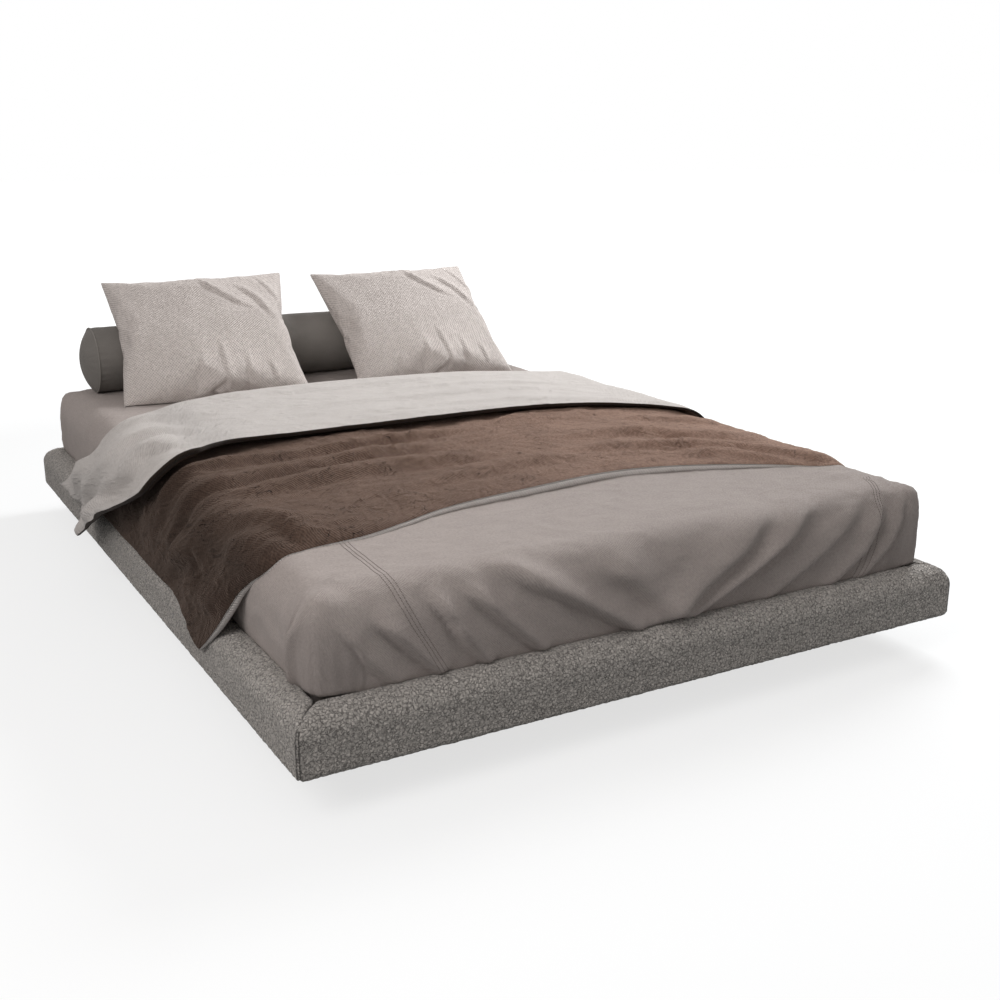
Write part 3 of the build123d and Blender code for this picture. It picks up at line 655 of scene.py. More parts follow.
    def _grain(self) -> bpy.types.NodeTree:
        """Growth rings and fibres that run along the timber.

        Returns:
            The group: Ring and Fibre, both from 0 to 1.
        """
        kit = self._start("grain", {"Rings": 60.0, "Fibres": 900.0})
        vector = kit.given("Vector")
        inputs = {"Distortion": 6.0, "Detail": 2.0, "Detail Scale": 0.6}
        rings = kit.add(
            "ShaderNodeTexWave",
            {"Vector": vector, "Scale": kit.given("Rings"), **inputs},
            wave_type="RINGS",
            rings_direction="X",
            wave_profile="SAW",
        )
        fibres = kit.noise(vector, kit.given("Fibres"), Detail=3.0)
        return kit.finish("NodeSocketFloat", {"Ring": rings.outputs["Fac"], "Fibre": fibres.outputs[0]})


class FinishSheet(NodeTree):
    """A material in the making: its tree, its shader and the vector that its pattern reads."""

    def __init__(self, name: str, on_cloth: bool) -> None:
        """Starts the material.

        Args:
            name: the material's name.
            on_cloth: whether the pattern follows the piece's own flat coordinates.
        """
        self.material = bpy.data.materials.new(name)
        self.material.use_nodes = True
        super().__init__(self.material.node_tree)
        self.shader = self.tree.nodes["Principled BSDF"]
        if on_cloth:
            self.place = self.add("ShaderNodeUVMap", uv_map="cloth").outputs[0]
        else:
            self.place = self.add("ShaderNodeTexCoord").outputs["Object"]

    def effect(self, group: bpy.types.NodeTree, inputs: dict[str, object]) -> bpy.types.bpy_prop_collection:
        """Places a shared effect, on the pattern's own vector unless another is given.

        Args:
            group: the effect.
            inputs: its values.

        Returns:
            The outputs of the group's node.
        """
        return self.add("ShaderNodeGroup", {"Vector": self.place, **inputs}, node_tree=group).outputs

    def give(self, inputs: dict[str, object]) -> None:
        """Leads values or sockets to the shader's inputs, by name."""
        for name, value in inputs.items():
            self.lead(value, self.shader.inputs[name])

    def roughness(self, value: bpy.types.NodeSocket, limits: Point) -> None:
        """Leads a value from 0 to 1 to the roughness, between two limits."""
        self.give({"Roughness": self.ranged(value, (0.0, 1.0), limits)})

    def bump(self, *layers: tuple[bpy.types.NodeSocket, float]) -> None:
        """Leads heights, each with its depth in metres, through Bump nodes to the normal.

        Args:
            layers: each height and its depth.
        """
        lower: dict[str, object] = {}
        for height, depth in layers:
            inputs = {"Height": height, "Distance": depth, "Strength": 1.0, **lower}
            lower = {"Normal": self.add("ShaderNodeBump", inputs).outputs[0]}
        self.give(lower)


def opaque(colour: Colour) -> tuple[float, float, float, float]:
    """A colour with its alpha of one."""
    return (*colour, 1.0)


@dataclass(frozen=True)
class Finish:
    """A material with two shades."""

    name: str
    light: Colour
    dark: Colour

    ON_CLOTH: ClassVar[bool] = False

    def make(self, groups: ShaderGroups) -> bpy.types.Material:
        """Builds the material.

        Args:
            groups: the shared effects.

        Returns:
            The material.
        """
        sheet = FinishSheet(self.name, self.ON_CLOTH)
        self.fill(sheet, groups)
        return sheet.material

    def fill(self, sheet: FinishSheet, groups: ShaderGroups) -> None:
        """Fills the material's tree."""
        raise NotImplementedError

    def shade(
        self, sheet: FinishSheet, groups: ShaderGroups, scale: float, **inputs: object
    ) -> bpy.types.NodeSocket:
        """The slow change between the two shades.

        Args:
            sheet: the material.
            groups: the shared effects.
            scale: how fast the shades change.
            inputs: other inputs of the effect.

        Returns:
            The colour.
        """
        shades = {"Light": opaque(self.light), "Dark": opaque(self.dark)}
        return sheet.effect(groups.mottle, {"Scale": scale, **shades, **inputs})["Color"]


@dataclass(frozen=True)
class WovenFinish(Finish):
    """A cloth: two shades, its weave, its creases and its sheen.

    Across the bed its colour is scaled from a share at the left to one at the right, painted light and shade
    where the lamps fall stronger or weaker; the hem at the left has a share of its own, painted shade on the
    hanging corner.
    """

    threads: float
    twill: float
    slub: float
    weave_depth: float
    crease_scale: float
    crease_stretch: float
    crease_depth: float
    fleck: float
    sheen: float = 0.1
    mottle_scale: float = 9.0
    pit_shade: float = 0.3
    groove_shade: float = 0.0
    across: Point = (1.0, 1.0)
    roughness: Point = (0.82, 0.95)
    sheen_tint: Colour = (1.0, 0.96, 0.93)
    hem: float = 1.0

    ON_CLOTH: ClassVar[bool] = True
    PAINTED_SHADE_DEPTH: ClassVar[float] = 0.25
    PAINTED_LIGHT_SPAN: ClassVar[Point] = (-0.75, 0.75)
    PAINTED_SHADE_HEM_BAND: ClassVar[Point] = (-0.80, -0.62)

    def fill(self, sheet: FinishSheet, groups: ShaderGroups) -> None:
        """Fills the tree: weave, creases, shades, painted shade in gaps and creases, painted light across the
        bed, relief and sheen.

        Args:
            sheet: the material.
            groups: the shared effects.
        """
        weave = sheet.effect(groups.weave, {"Threads": self.threads, "Twill": self.twill, "Slub": self.slub})
        crease = sheet.effect(groups.crinkle, {"Scale": self.crease_scale, "Stretch": self.crease_stretch})
        fleck = sheet.ranged(weave["Slub"], (0.35, 0.65), (-self.fleck, self.fleck))
        # Painted shade: the gaps between threads, and with groove_shade the sharp creases, are darkened toward a
        # deep shade of the dark colour.
        painted_shade = sheet.sums("MULTIPLY", weave["Pit"], self.pit_shade)
        painted_shade = sheet.sums("MULTIPLY_ADD", crease["Groove"], self.groove_shade, painted_shade)
        deep = opaque(tuple(self.PAINTED_SHADE_DEPTH * part for part in self.dark))
        cloth = sheet.mixed(painted_shade, self.shade(sheet, groups, self.mottle_scale, Fleck=fleck), deep)
        side = sheet.add("ShaderNodeSeparateXYZ", {0: sheet.place}).outputs["X"]
        # Painted light and shade: the colour is scaled across the bed, from one share at the left to another at
        # the right.
        fade = sheet.ranged(side, self.PAINTED_LIGHT_SPAN, self.across, eased=True)
        # Painted shade: the hem at the left, where the duvet hangs in shade, is darkened by its own share.
        edge = sheet.ranged(side, self.PAINTED_SHADE_HEM_BAND, (self.hem, 1.0), eased=True)
        sheet.roughness(weave["Slub"], self.roughness)
        sunk = sheet.sums("SUBTRACT", 1.0, crease["Groove"])
        sheet.bump(
            (crease["Height"], self.crease_depth),
            (sunk, self.crease_depth * min(1.0, 2.0 * self.groove_shade)),
            (weave["Height"], self.weave_depth),
        )
        sheet.give(
            {
                "Base Color": sheet.vectors("SCALE", cloth, sheet.sums("MULTIPLY", fade, edge)),
                "Sheen Weight": self.sheen,
                "Sheen Roughness": 0.45,
                "Sheen Tint": opaque(self.sheen_tint),
                "Specular IOR Level": 0.12,
            }
        )


@dataclass(frozen=True)
class BoucleFinish(Finish):
    """The looped upholstery cloth of the rails."""

    # The colour of the painted shade in the gaps between the loops and along the mitres.
    gap: Colour
    curl_scale: float
    curl_depth: float

    YARN_SCALE: ClassVar[float] = 210.0
    FINE_CURLS: ClassVar[float] = 2.6
    GAP_SHADES: ClassVar[Point] = (0.85, 0.15)
    SEAM_SHADE: ClassVar[float] = 0.95

    def fill(self, sheet: FinishSheet, groups: ShaderGroups) -> None:
        """Fills the tree: two yarns, painted shade in the gaps between the loops and along the mitres, and a
        soft sheen.

        Args:
            sheet: the material.
            groups: the shared effects.
        """
        curl = sheet.effect(groups.curl, {"Scale": self.curl_scale})
        fine = sheet.effect(groups.curl, {"Scale": self.curl_scale * self.FINE_CURLS})
        deep, shallow = self.GAP_SHADES
        # Painted shade: the gaps between the loops and the mitre seams are darkened toward the gap colour.
        painted_shade = sheet.sums("MULTIPLY", curl["Gap"], deep)
        painted_shade = sheet.sums("MULTIPLY_ADD", fine["Gap"], shallow, painted_shade)
        seam = sheet.add("ShaderNodeAttribute", attribute_name="seam").outputs["Fac"]
        painted_shade = sheet.sums("MULTIPLY_ADD", seam, self.SEAM_SHADE, painted_shade)
        yarn = self.shade(sheet, groups, self.YARN_SCALE)
        sheet.roughness(curl["Gap"], (0.85, 1.0))
        sheet.bump((curl["Height"], self.curl_depth), (fine["Height"], self.curl_depth * 0.3))
        sheet.give(
            {
                "Base Color": sheet.mixed(painted_shade, yarn, opaque(self.gap)),
                "Sheen Weight": 0.25,
                "Sheen Roughness": 0.6,
                "Specular IOR Level": 0.15,
            }
        )


@dataclass(frozen=True)
class TimberFinish(Finish):
    """Planed or sanded timber; the grain runs along one axis of the bed."""

    stretch: tuple[float, float, float]

    def fill(self, sheet: FinishSheet, groups: ShaderGroups) -> None:
        """Fills the tree: rings and fibres in two shades.

        Args:
            sheet: the material.
            groups: the shared effects.
        """
        mapping = sheet.add("ShaderNodeMapping", {"Vector": sheet.place, "Scale": self.stretch})
        vector = mapping.outputs[0]
        grain = sheet.effect(groups.grain, {"Vector": vector, "Rings": 14.0, "Fibres": 320.0})
        tone = sheet.sums("SUBTRACT", sheet.sums("MULTIPLY", grain["Ring"], 0.6), 0.3)
        sheet.give({"Base Color": self.shade(sheet, groups, 5.0, Vector=vector, Fleck=tone)})
        sheet.roughness(grain["Fibre"], (0.45, 0.7))
        sheet.bump((grain["Fibre"], 0.0002), (grain["Ring"], 0.0001))


@dataclass(frozen=True)
class SteelFinish(Finish):
    """Zinc-plated or powder-coated steel, scuffed a little."""

    metallic: float
    roughness: Point

    def fill(self, sheet: FinishSheet, groups: ShaderGroups) -> None:
        """Fills the tree: two shades and fine scuffs.

        Args:
            sheet: the material.
            groups: the shared effects.
        """
        scuffs = sheet.effect(groups.crinkle, {"Scale": 220.0, "Stretch": 0.4})
        sheet.give({"Base Color": self.shade(sheet, groups, 60.0), "Metallic": self.metallic})
        sheet.roughness(scuffs["Height"], self.roughness)
        sheet.bump((scuffs["Height"], 0.00005))


@dataclass(frozen=True)
class FoamFinish(Finish):
    """Open-cell foam."""

    def fill(self, sheet: FinishSheet, groups: ShaderGroups) -> None:
        """Fills the tree: two shades and small cells.

        Args:
            sheet: the material.
            groups: the shared effects.
        """
        cells = sheet.effect(groups.curl, {"Scale": 600.0})
        sheet.give({"Base Color": self.shade(sheet, groups, 30.0)})
        sheet.roughness(cells["Gap"], (0.9, 1.0))
        sheet.bump((cells["Height"], 0.0006))


FINISHES: tuple[Finish, ...] = (
    BoucleFinish("boucle", (0.745, 0.705, 0.662), (0.413, 0.39, 0.365), (0.10, 0.094, 0.088), 150.0, 0.0022),
    # Sheet: across is painted light, lighter at the left side of the bed.
    WovenFinish(
        "sheet_cotton", (0.41, 0.366, 0.347), (0.373, 0.332, 0.315), threads=225.0, twill=0.65, slub=1.0,
        weave_depth=0.0011, crease_scale=15.0, crease_stretch=1.3, crease_depth=0.0025, fleck=0.45,
        mottle_scale=16.0, pit_shade=0.36, across=(1.13, 0.92),
    ),
    # Brown face: across is painted light, up to three times lighter at the right; hem is painted shade on the
    # hanging left corner.
    WovenFinish(
        "duvet_brown_face", (0.112, 0.0735, 0.0565), (0.080, 0.0515, 0.0395), threads=165.0, twill=0.7, slub=0.8,
        weave_depth=0.0014, crease_scale=30.0, crease_stretch=1.1, crease_depth=0.0075, fleck=0.45, sheen=0.25,
        pit_shade=0.42, groove_shade=0.4, across=(1.02, 3.0), sheen_tint=(0.6, 0.46, 0.38), hem=0.45,
    ),
    WovenFinish(
        "duvet_light_reverse", (0.606, 0.579, 0.56), (0.553, 0.526, 0.507), threads=160.0, twill=0.7, slub=0.7,
        weave_depth=0.0011, crease_scale=26.0, crease_stretch=1.2, crease_depth=0.0048, fleck=0.3, sheen=0.12,
        mottle_scale=12.0, pit_shade=0.24,
    ),
    # Near black painted shade for the wall under the flap's lifted free edge, standing in for its shadow.
    WovenFinish(
        "duvet_edge_binding", (0.04, 0.028, 0.022), (0.024, 0.017, 0.014), threads=170.0, twill=0.85, slub=0.5,
        weave_depth=0.0005, crease_scale=18.0, crease_stretch=1.6, crease_depth=0.001, fleck=0.3,
    ),
    # Bolster: across is painted light and shade, darker at its left end and lighter at its right.
    WovenFinish(
        "bolster_cloth", (0.268, 0.253, 0.236), (0.222, 0.21, 0.195), threads=420.0, twill=0.2, slub=0.3,
        weave_depth=0.0003, crease_scale=16.0, crease_stretch=1.0, crease_depth=0.002, fleck=0.15,
        pit_shade=0.1, across=(0.80, 1.10),
    ),
    WovenFinish(
        "pillow_linen", (0.715, 0.663, 0.635), (0.656, 0.604, 0.577), threads=128.0, twill=0.15, slub=1.2,
        weave_depth=0.0018, crease_scale=20.0, crease_stretch=1.3, crease_depth=0.002, fleck=0.3,
        mottle_scale=12.0, pit_shade=0.72,
    ),
    WovenFinish(
        "mattress_ticking", (0.78, 0.76, 0.72), (0.7, 0.68, 0.64), threads=260.0, twill=0.4, slub=0.5,
        weave_depth=0.0005, crease_scale=14.0, crease_stretch=1.0, crease_depth=0.001, fleck=0.1,
    ),
    WovenFinish(
        "seam_thread", (0.25, 0.222, 0.208), (0.20, 0.178, 0.165), threads=900.0, twill=1.0, slub=0.3,
        weave_depth=0.0002, crease_scale=90.0, crease_stretch=1.0, crease_depth=0.0002, fleck=0.1,
    ),
    TimberFinish("planed_spruce", (0.62, 0.44, 0.25), (0.5, 0.32, 0.16), (1.0, 12.0, 12.0)),
    TimberFinish("sanded_birch", (0.66, 0.5, 0.32), (0.56, 0.4, 0.24), (2.0, 2.0, 14.0)),
    SteelFinish("black_powder_coat", (0.02, 0.02, 0.02), (0.012, 0.012, 0.012), 0.0, (0.4, 0.6)),
    SteelFinish("zinc_plate", (0.6, 0.6, 0.58), (0.45, 0.46, 0.46), 1.0, (0.25, 0.45)),
    FoamFinish("upholstery_foam", (0.8, 0.72, 0.5), (0.7, 0.62, 0.42)),
)


class Finishes:
    """Every material of the bed, by the name of its finish."""

    SLOTS: ClassVar[dict[str, str]] = {
        "boucle": "boucle",
        "foam": "upholstery_foam",
        "spruce": "planed_spruce",
        "birch": "sanded_birch",
        "bracket_steel": "black_powder_coat",
        "fixing_steel": "zinc_plate",
        "ticking": "mattress_ticking",
        "sheet_fabric": "sheet_cotton",
        "duvet_fabric": "duvet_brown_face",
        "bolster_fabric": "bolster_cloth",
        "pillow_fabric": "pillow_linen",
    }

    def __init__(self) -> None:
        """Builds them all from the shared effects."""
        groups = ShaderGroups()
        self.materials = {finish.name: finish.make(groups) for finish in FINISHES}

    def __getitem__(self, name: str) -> bpy.types.Material:
        """The material of a finish."""
        return self.materials[name]

    def of_slot(self, slot: str) -> bpy.types.Material:
        """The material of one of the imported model's slots."""
        return self.materials[self.SLOTS[slot]]


class GeometryRecipes:
    """The Geometry Nodes trees for what follows a rule or repeats along a path."""

    def __init__(self) -> None:
        """Builds the trees."""
        self.boucle = self._boucle()
        self.stitches = self._stitches()

    @staticmethod
    def _start(name: str, inputs: dict[str, object]) -> GroupTree:
        """Starts a recipe that takes a geometry first and a finish last."""
        labels = {"Geometry": "NodeSocketGeometry", **inputs, "Finish": "NodeSocketMaterial"}
        return GroupTree("GeometryNodeTree", name, labels)

    @staticmethod
    def _finish(kit: GroupTree, geometry: bpy.types.NodeSocket) -> bpy.types.NodeTree:
        """Ends a recipe: makes its instances real and gives them the finish.

        Args:
            kit: the recipe's tree.
            geometry: what it has made.

        Returns:
            The finished tree.
        """
        real = kit.add("GeometryNodeRealizeInstances", {0: geometry}).outputs[0]
        dressed = kit.add("GeometryNodeSetMaterial", {"Geometry": real, "Material": kit.given("Finish")})
        return kit.finish("NodeSocketGeometry", {"Geometry": dressed.outputs[0]})

    def _boucle(self) -> bpy.types.NodeTree:
        """Raises the loops of the yarn along the surface's normal.

        Returns:
            The tree, with inputs Curl Size, Curl Height, Swell, Seed and Finish.
        """
        sizes = {"Curl Size": 0.009, "Curl Height": 0.0022, "Swell": 0.0015, "Seed": 3.0}
        kit = self._start("boucle_relief", sizes)
        place = kit.add("GeometryNodeInputPosition").outputs[0]
        shift = kit.vectors("ADD", place, kit.given("Seed"))
        scale = kit.sums("DIVIDE", 1.0, kit.given("Curl Size"))
        bend = kit.noise(shift, scale, Detail=0.0).outputs["Color"]
        moved = kit.vectors("ADD", shift, kit.vectors("SCALE", bend, kit.given("Curl Size")))
        inputs = {"Vector": moved, "Scale": scale, "Smoothness": 0.4}
        cells = kit.add("ShaderNodeTexVoronoi", inputs, feature="SMOOTH_F1")
        loop = kit.sums("SUBTRACT", 0.55, cells.outputs["Distance"])
        loop = kit.sums("MULTIPLY", loop, kit.given("Curl Height"))
        broad = kit.noise(shift, 9.0, Detail=1.0).outputs[0]
        swell = kit.sums("MULTIPLY", kit.sums("SUBTRACT", broad, 0.5), kit.given("Swell"))
        mask = kit.add("GeometryNodeInputNamedAttribute", {"Name": "shown"}, data_type="FLOAT").outputs[0]
        lift = kit.sums("MULTIPLY", kit.sums("ADD", loop, swell), mask)
        offset = kit.vectors("SCALE", kit.add("GeometryNodeInputNormal").outputs[0], lift)
        raised = kit.add("GeometryNodeSetPosition", {"Geometry": kit.given("Geometry"), "Offset": offset})
        return self._finish(kit, raised.outputs[0])

    def _stitches(self) -> bpy.types.NodeTree:
        """Sets short threads end to end along a line of edges.

        Returns:
            The tree, with inputs Spacing, Stitch Length, Thread Radius and Finish.
        """
        sizes = {"Spacing": 0.006, "Stitch Length": 0.0045, "Thread Radius": 0.0006}
        kit = self._start("stitch_run", sizes)
        curve = kit.add("GeometryNodeMeshToCurve", {0: kit.given("Geometry")}).outputs[0]
        inputs = {"Curve": curve, "Length": kit.given("Spacing")}
        spaced = kit.add("GeometryNodeResampleCurve", inputs, mode="LENGTH").outputs[0]
        size = {"Radius": kit.given("Thread Radius"), "Depth": kit.given("Stitch Length")}
        thread = kit.add("GeometryNodeMeshCylinder", {"Vertices": 6, **size}).outputs["Mesh"]
        tangent = kit.add("GeometryNodeInputTangent").outputs[0]
        turn = kit.add("FunctionNodeAlignRotationToVector", {"Vector": tangent}, axis="Z").outputs[0]
        inputs = {"Points": spaced, "Instance": thread, "Rotation": turn}
        return self._finish(kit, kit.add("GeometryNodeInstanceOnPoints", inputs).outputs[0])

    @staticmethod
    def apply(piece: bpy.types.Object, tree: bpy.types.NodeTree, values: dict[str, object]) -> None:
        """Runs a tree on a piece and keeps the result as its plain mesh.

        Args:
            piece: the object.
            tree: the recipe.
            values: its inputs, by name.
        """
        modifier = piece.modifiers.new(tree.name, "NODES")
        modifier.node_group = tree
        for socket in tree.interface.items_tree:
            if socket.in_out == "INPUT" and socket.name in values:
                modifier[socket.identifier] = values[socket.name]
        bake_modifiers(piece)


@dataclass
class RailUpholstery:
    """The boucle over foam of one rail, mitred to its neighbours."""

    side: RailSide
    height: float = 0.116
    width: float = 0.058
    outer_round: float = 0.042
    inner_round: float = 0.008
    bottom_round: float = 0.012
    cover: float = 0.003
    board: float = 0.025
    top_foam: float = 0.015
    hem_inset: float = 0.008
    slat_top: float = 0.152
    spacing: float = 0.0034
    inner_spacing: float = 0.012
    seam_depth: float = 0.0055
    seam_width: float = 0.0045
    seam_shade_width: float = 0.0024
    clearance: float = 0.0005
    mitre_margin: float = 0.002

    def _arc(self, centre: Point, radius: float, start: float, end: float) -> list[Point]:
        """Points of a round in the rail's section, without its last one.

        Args:
            centre: the round's centre.
            radius: its radius.
            start: the angle that it starts at.
            end: the angle that it ends at.

        Returns:
            The points.
        """
        count = max(3, round(abs(end - start) * radius / self.spacing))
        angles = np.linspace(start, end, count, endpoint=False)
        return [(centre[0] + radius * math.cos(a), centre[1] + radius * math.sin(a)) for a in angles]

    @staticmethod
    def _run(corners: tuple[Point, ...], spacing: float) -> list[Point]:
        """Points of straight runs from corner to corner of the section, without the last one.

        Args:
            corners: the corners, in order.
            spacing: about how far apart the points are.

        Returns:
            The points.
        """
        found: list[Point] = []
        for start, end in itertools.pairwise(corners):
            x, y = end[0] - start[0], end[1] - start[1]
            shares = np.linspace(0.0, 1.0, max(2, round(math.hypot(x, y) / spacing)), endpoint=False)
            found += [(start[0] + share * x, start[1] + share * y) for share in shares]
        return found

    def section(self) -> tuple[np.ndarray, np.ndarray]:
        """The rail's outline, outwards and up from its inner lower edge on the floor's level.

        Returns:
            The closed outline's points, and 1 for each that shows and 0 for each on the board.
        """
        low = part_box("rail_board_foot")[0].z - self.cover
        top = low + self.height
        width, outer, inner, bottom = self.width, self.outer_round, self.inner_round, self.bottom_round
        quarter = math.pi / 2
        shown = [
            *self._run(((0.0, self.slat_top), (0.0, top - inner)), self.spacing),
            *self._arc((inner, top - inner), inner, math.pi, quarter),
            *self._run(((inner, top), (width - outer, top)), self.spacing),
            *self._arc((width - outer, top - outer), outer, quarter, 0.0),
            *self._run(((width, top - outer), (width, low + bottom)), self.spacing),
            *self._arc((width - bottom, low + bottom), bottom, 0.0, -quarter),
            *self._run(((width - bottom, low), (self.hem_inset, low)), self.spacing),
        ]
        board_low, board_top = low + self.cover, top - self.cover - self.top_foam
        board_out = self.cover + self.board
        corners = (
            (self.hem_inset, low), (self.hem_inset, board_low), (board_out, board_low),
            (board_out, board_top), (self.cover, board_top), (self.cover, self.slat_top), (0.0, self.slat_top),
        )
        back = self._run(corners, self.inner_spacing)
        mask = np.concatenate([np.ones(len(shown)), np.zeros(len(back))])
        mask[0] = 0.0
        return np.array(shown + back), mask

    def build(self, recipes: GeometryRecipes, finishes: Finishes) -> bpy.types.Object:
        """Sweeps the section between its mitres and raises the loops.

        Args:
            recipes: the Geometry Nodes trees.
            finishes: the materials.

        Returns:
            The finished piece.
        """
        across, along = self.side.value
        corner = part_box("fitted_sheet")[1]
        inner_x, inner_y = corner.x + self.clearance, corner.y + self.clearance
        inner_run, inner_out = (inner_y, inner_x) if across else (inner_x, inner_y)
        outline, mask = self.section()
        stations = np.linspace(-1.0, 1.0, round(2.0 * (inner_run + self.width) / self.spacing))
        lengths = inner_run + outline[:, 0]
        run = stations[:, None] * lengths[None, :]
        to_mitre = lengths[None, :] - np.abs(run)
        out = inner_out + np.broadcast_to(outline[:, 0], run.shape)
        height = np.broadcast_to(outline[:, 1], run.shape)
        plan = (across * out, run) if across else (run, along * out)
        points = np.stack([*plan, height], axis=2)
        normals = grid_normals(points, closed=True)
        middle = points.mean(axis=1, keepdims=True)
        facing = np.sign(np.sum(normals * (points - middle), axis=(1, 2)))[:, None, None]
        groove = self.seam_depth * np.exp(-((to_mitre / self.seam_width) ** 2))
        points = points - normals * facing * (groove * mask[None, :])[:, :, None]
        parts = MeshParts(points.reshape(-1, 3), tube_faces(*run.shape))
        piece = parts.build(f"rail_upholstery_{self.side.name.lower()}", [finishes["boucle"]])
        write_attribute(piece.data, "shown", mask[None, :] * smooth_step(to_mitre, 0.0, self.mitre_margin))
        # The seam attribute carries painted shade along the mitre grooves.
        write_attribute(piece.data, "seam", np.exp(-((to_mitre / self.seam_shade_width) ** 2)))
        turn_outwards(piece)
        seed = 3.0 + 7.0 * list(RailSide).index(self.side)
        recipes.apply(piece, recipes.boucle, {"Seed": seed, "Finish": finishes["boucle"]})
        return piece

    def dress(self, recipes: GeometryRecipes, finishes: Finishes) -> None:
        """Builds the piece and puts it in place of the plain cover and its foam.

        Args:
            recipes: the Geometry Nodes trees.
            finishes: the materials.
        """
        side = self.side.name.lower()
        piece = self.build(recipes, finishes)
        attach(piece, ROOT_BODY)
        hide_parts(f"rail_cover_{side}", f"rail_foam_{side}")
        LOG.info("%s: %d faces", piece.name, len(piece.data.polygons))


@dataclass
class RoundedBlock:
    """The mattress's outside as one cloth: flat coordinates over the top, sides and underside."""

    half_width: float = 0.7
    half_length: float = 1.0
    bottom: float = 0.1503
    top: float = 0.3753
    plan_round: float = 0.09
    top_round: float = 0.055
    bottom_round: float = 0.015

    @property
    def inner_x(self) -> float:
        """Half the width of the part with no round in plan."""
        return self.half_width - self.plan_round

    @property
    def inner_y(self) -> float:
        """Half the length of the part with no round in plan."""
        return self.half_length - self.plan_round

    def profile(self, reach: np.ndarray) -> tuple[np.ndarray, np.ndarray]:
        """The section's place after a length of cloth from the inner rectangle outwards.

        Args:
            reach: lengths of cloth.

        Returns:
            The distance outwards and the height.
        """
        flat = self.plan_round - self.top_round
        arc = self.top_round * math.pi / 2
        side = self.top - self.bottom - self.top_round - self.bottom_round
        low_arc = self.bottom_round * math.pi / 2
        turn = np.clip((reach - flat) / self.top_round, 0.0, math.pi / 2)
        out = np.clip(reach, 0.0, flat) + self.top_round * np.sin(turn)
        height = self.top - self.top_round * (1.0 - np.cos(turn))
        height = height - np.clip(reach - flat - arc, 0.0, side)
        low_turn = np.clip((reach - flat - arc - side) / self.bottom_round, 0.0, math.pi / 2)
        out = out - self.bottom_round * (1.0 - np.cos(low_turn))
        height = height - self.bottom_round * np.sin(low_turn)
        out = out - np.maximum(reach - flat - arc - side - low_arc, 0.0)
        return out, height

    def place(self, flat: np.ndarray) -> np.ndarray:
        """The places in space of flat places on the cloth.

        Args:
            flat: places on the cloth, across and along.

        Returns:
            Their places on the block.
        """
        over = np.maximum(np.abs(flat) - np.array([self.inner_x, self.inner_y]), 0.0)
        reach = over.max(axis=1)
        out, height = self.profile(reach)
        length = np.linalg.norm(over, axis=1)
        way = over / np.maximum(length, 1e-9)[:, None]
        inner = np.clip(flat, [-self.inner_x, -self.inner_y], [self.inner_x, self.inner_y])
        beyond = np.maximum(out, 0.0)[:, None] * way * np.sign(flat)
        under = np.minimum(out, 0.0)
        shrink_x = (self.inner_x + under) / self.inner_x
        shrink_y = (self.inner_y + under) / self.inner_y
        plan = inner * np.stack([shrink_x, shrink_y], axis=1) + beyond
        return np.column_stack([plan, height])


def stretched_stations(bands: tuple[tuple[float, float, float], ...]) -> np.ndarray:
    """Stations along a line in bands, each with its own spacing.

    Args:
        bands: start, end and spacing of each band, end to end.

    Returns:
        The stations in order.
    """
    found: list[float] = []
    for start, end, spacing in bands:
        count = max(1, round((end - start) / spacing))
        found.extend(np.linspace(start, end, count, endpoint=False))
    found.append(bands[-1][1])
    return np.array(found)


@dataclass
class Mattress:
    """The zipped mattress under the sheet."""

    block: RoundedBlock
    inset: float = 0.006
    spacing: float = 0.025
    longer: float = 1.4
    quilt_depth: float = 0.001
    quilt_rate: float = 52.0
    underside_shift: float = 5.0
    merge: float = 0.0012

    def dress(self, finishes: Finishes) -> None:
        """Builds the closed, softly quilted block and puts it in place of core and cover.

        Args:
            finishes: the materials.
        """
        block = self.block
        half = (block.top - block.bottom) / 2
        rounded = block.plan_round - block.top_round + block.top_round * math.pi / 2
        reach = rounded + half - block.top_round
        size = round(2 * (block.inner_x + reach) / self.spacing)
        long_size = round(size * self.longer)
        across = np.linspace(-block.inner_x - reach, block.inner_x + reach, size)
        along = np.linspace(-block.inner_y - reach, block.inner_y + reach, long_size)
        flat = np.stack(np.meshgrid(across, along), axis=2).reshape(-1, 2)
        upper = block.place(flat)
        middle = (block.top + block.bottom) / 2
        waves = np.cos(flat * self.quilt_rate)
        quilting = np.abs(self.quilt_depth * waves[:, 0] * waves[:, 1])
        upper[:, 2] -= self.inset + quilting * smooth_step(upper[:, 2], middle, block.top)
        upper[:, :2] *= 1.0 - self.inset / block.half_width
        lower = upper.copy()
        lower[:, 2] = 2.0 * middle - upper[:, 2]
        lower[:, 2] = np.maximum(lower[:, 2], block.bottom + self.inset)
        faces = grid_faces(len(along), len(across))
        parts = MeshParts(
            np.concatenate([upper, lower]),
            np.concatenate([faces, faces[:, ::-1] + len(upper)]),
            np.concatenate([flat, flat + self.underside_shift]),
        )
        piece = parts.build("mattress", [finishes["mattress_ticking"]])
        turn_outwards(piece, merge=self.merge)
        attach(piece, ROOT_BODY)
        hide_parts("mattress_core", "mattress_cover")
        LOG.info("%s: %d faces", piece.name, len(piece.data.polygons))


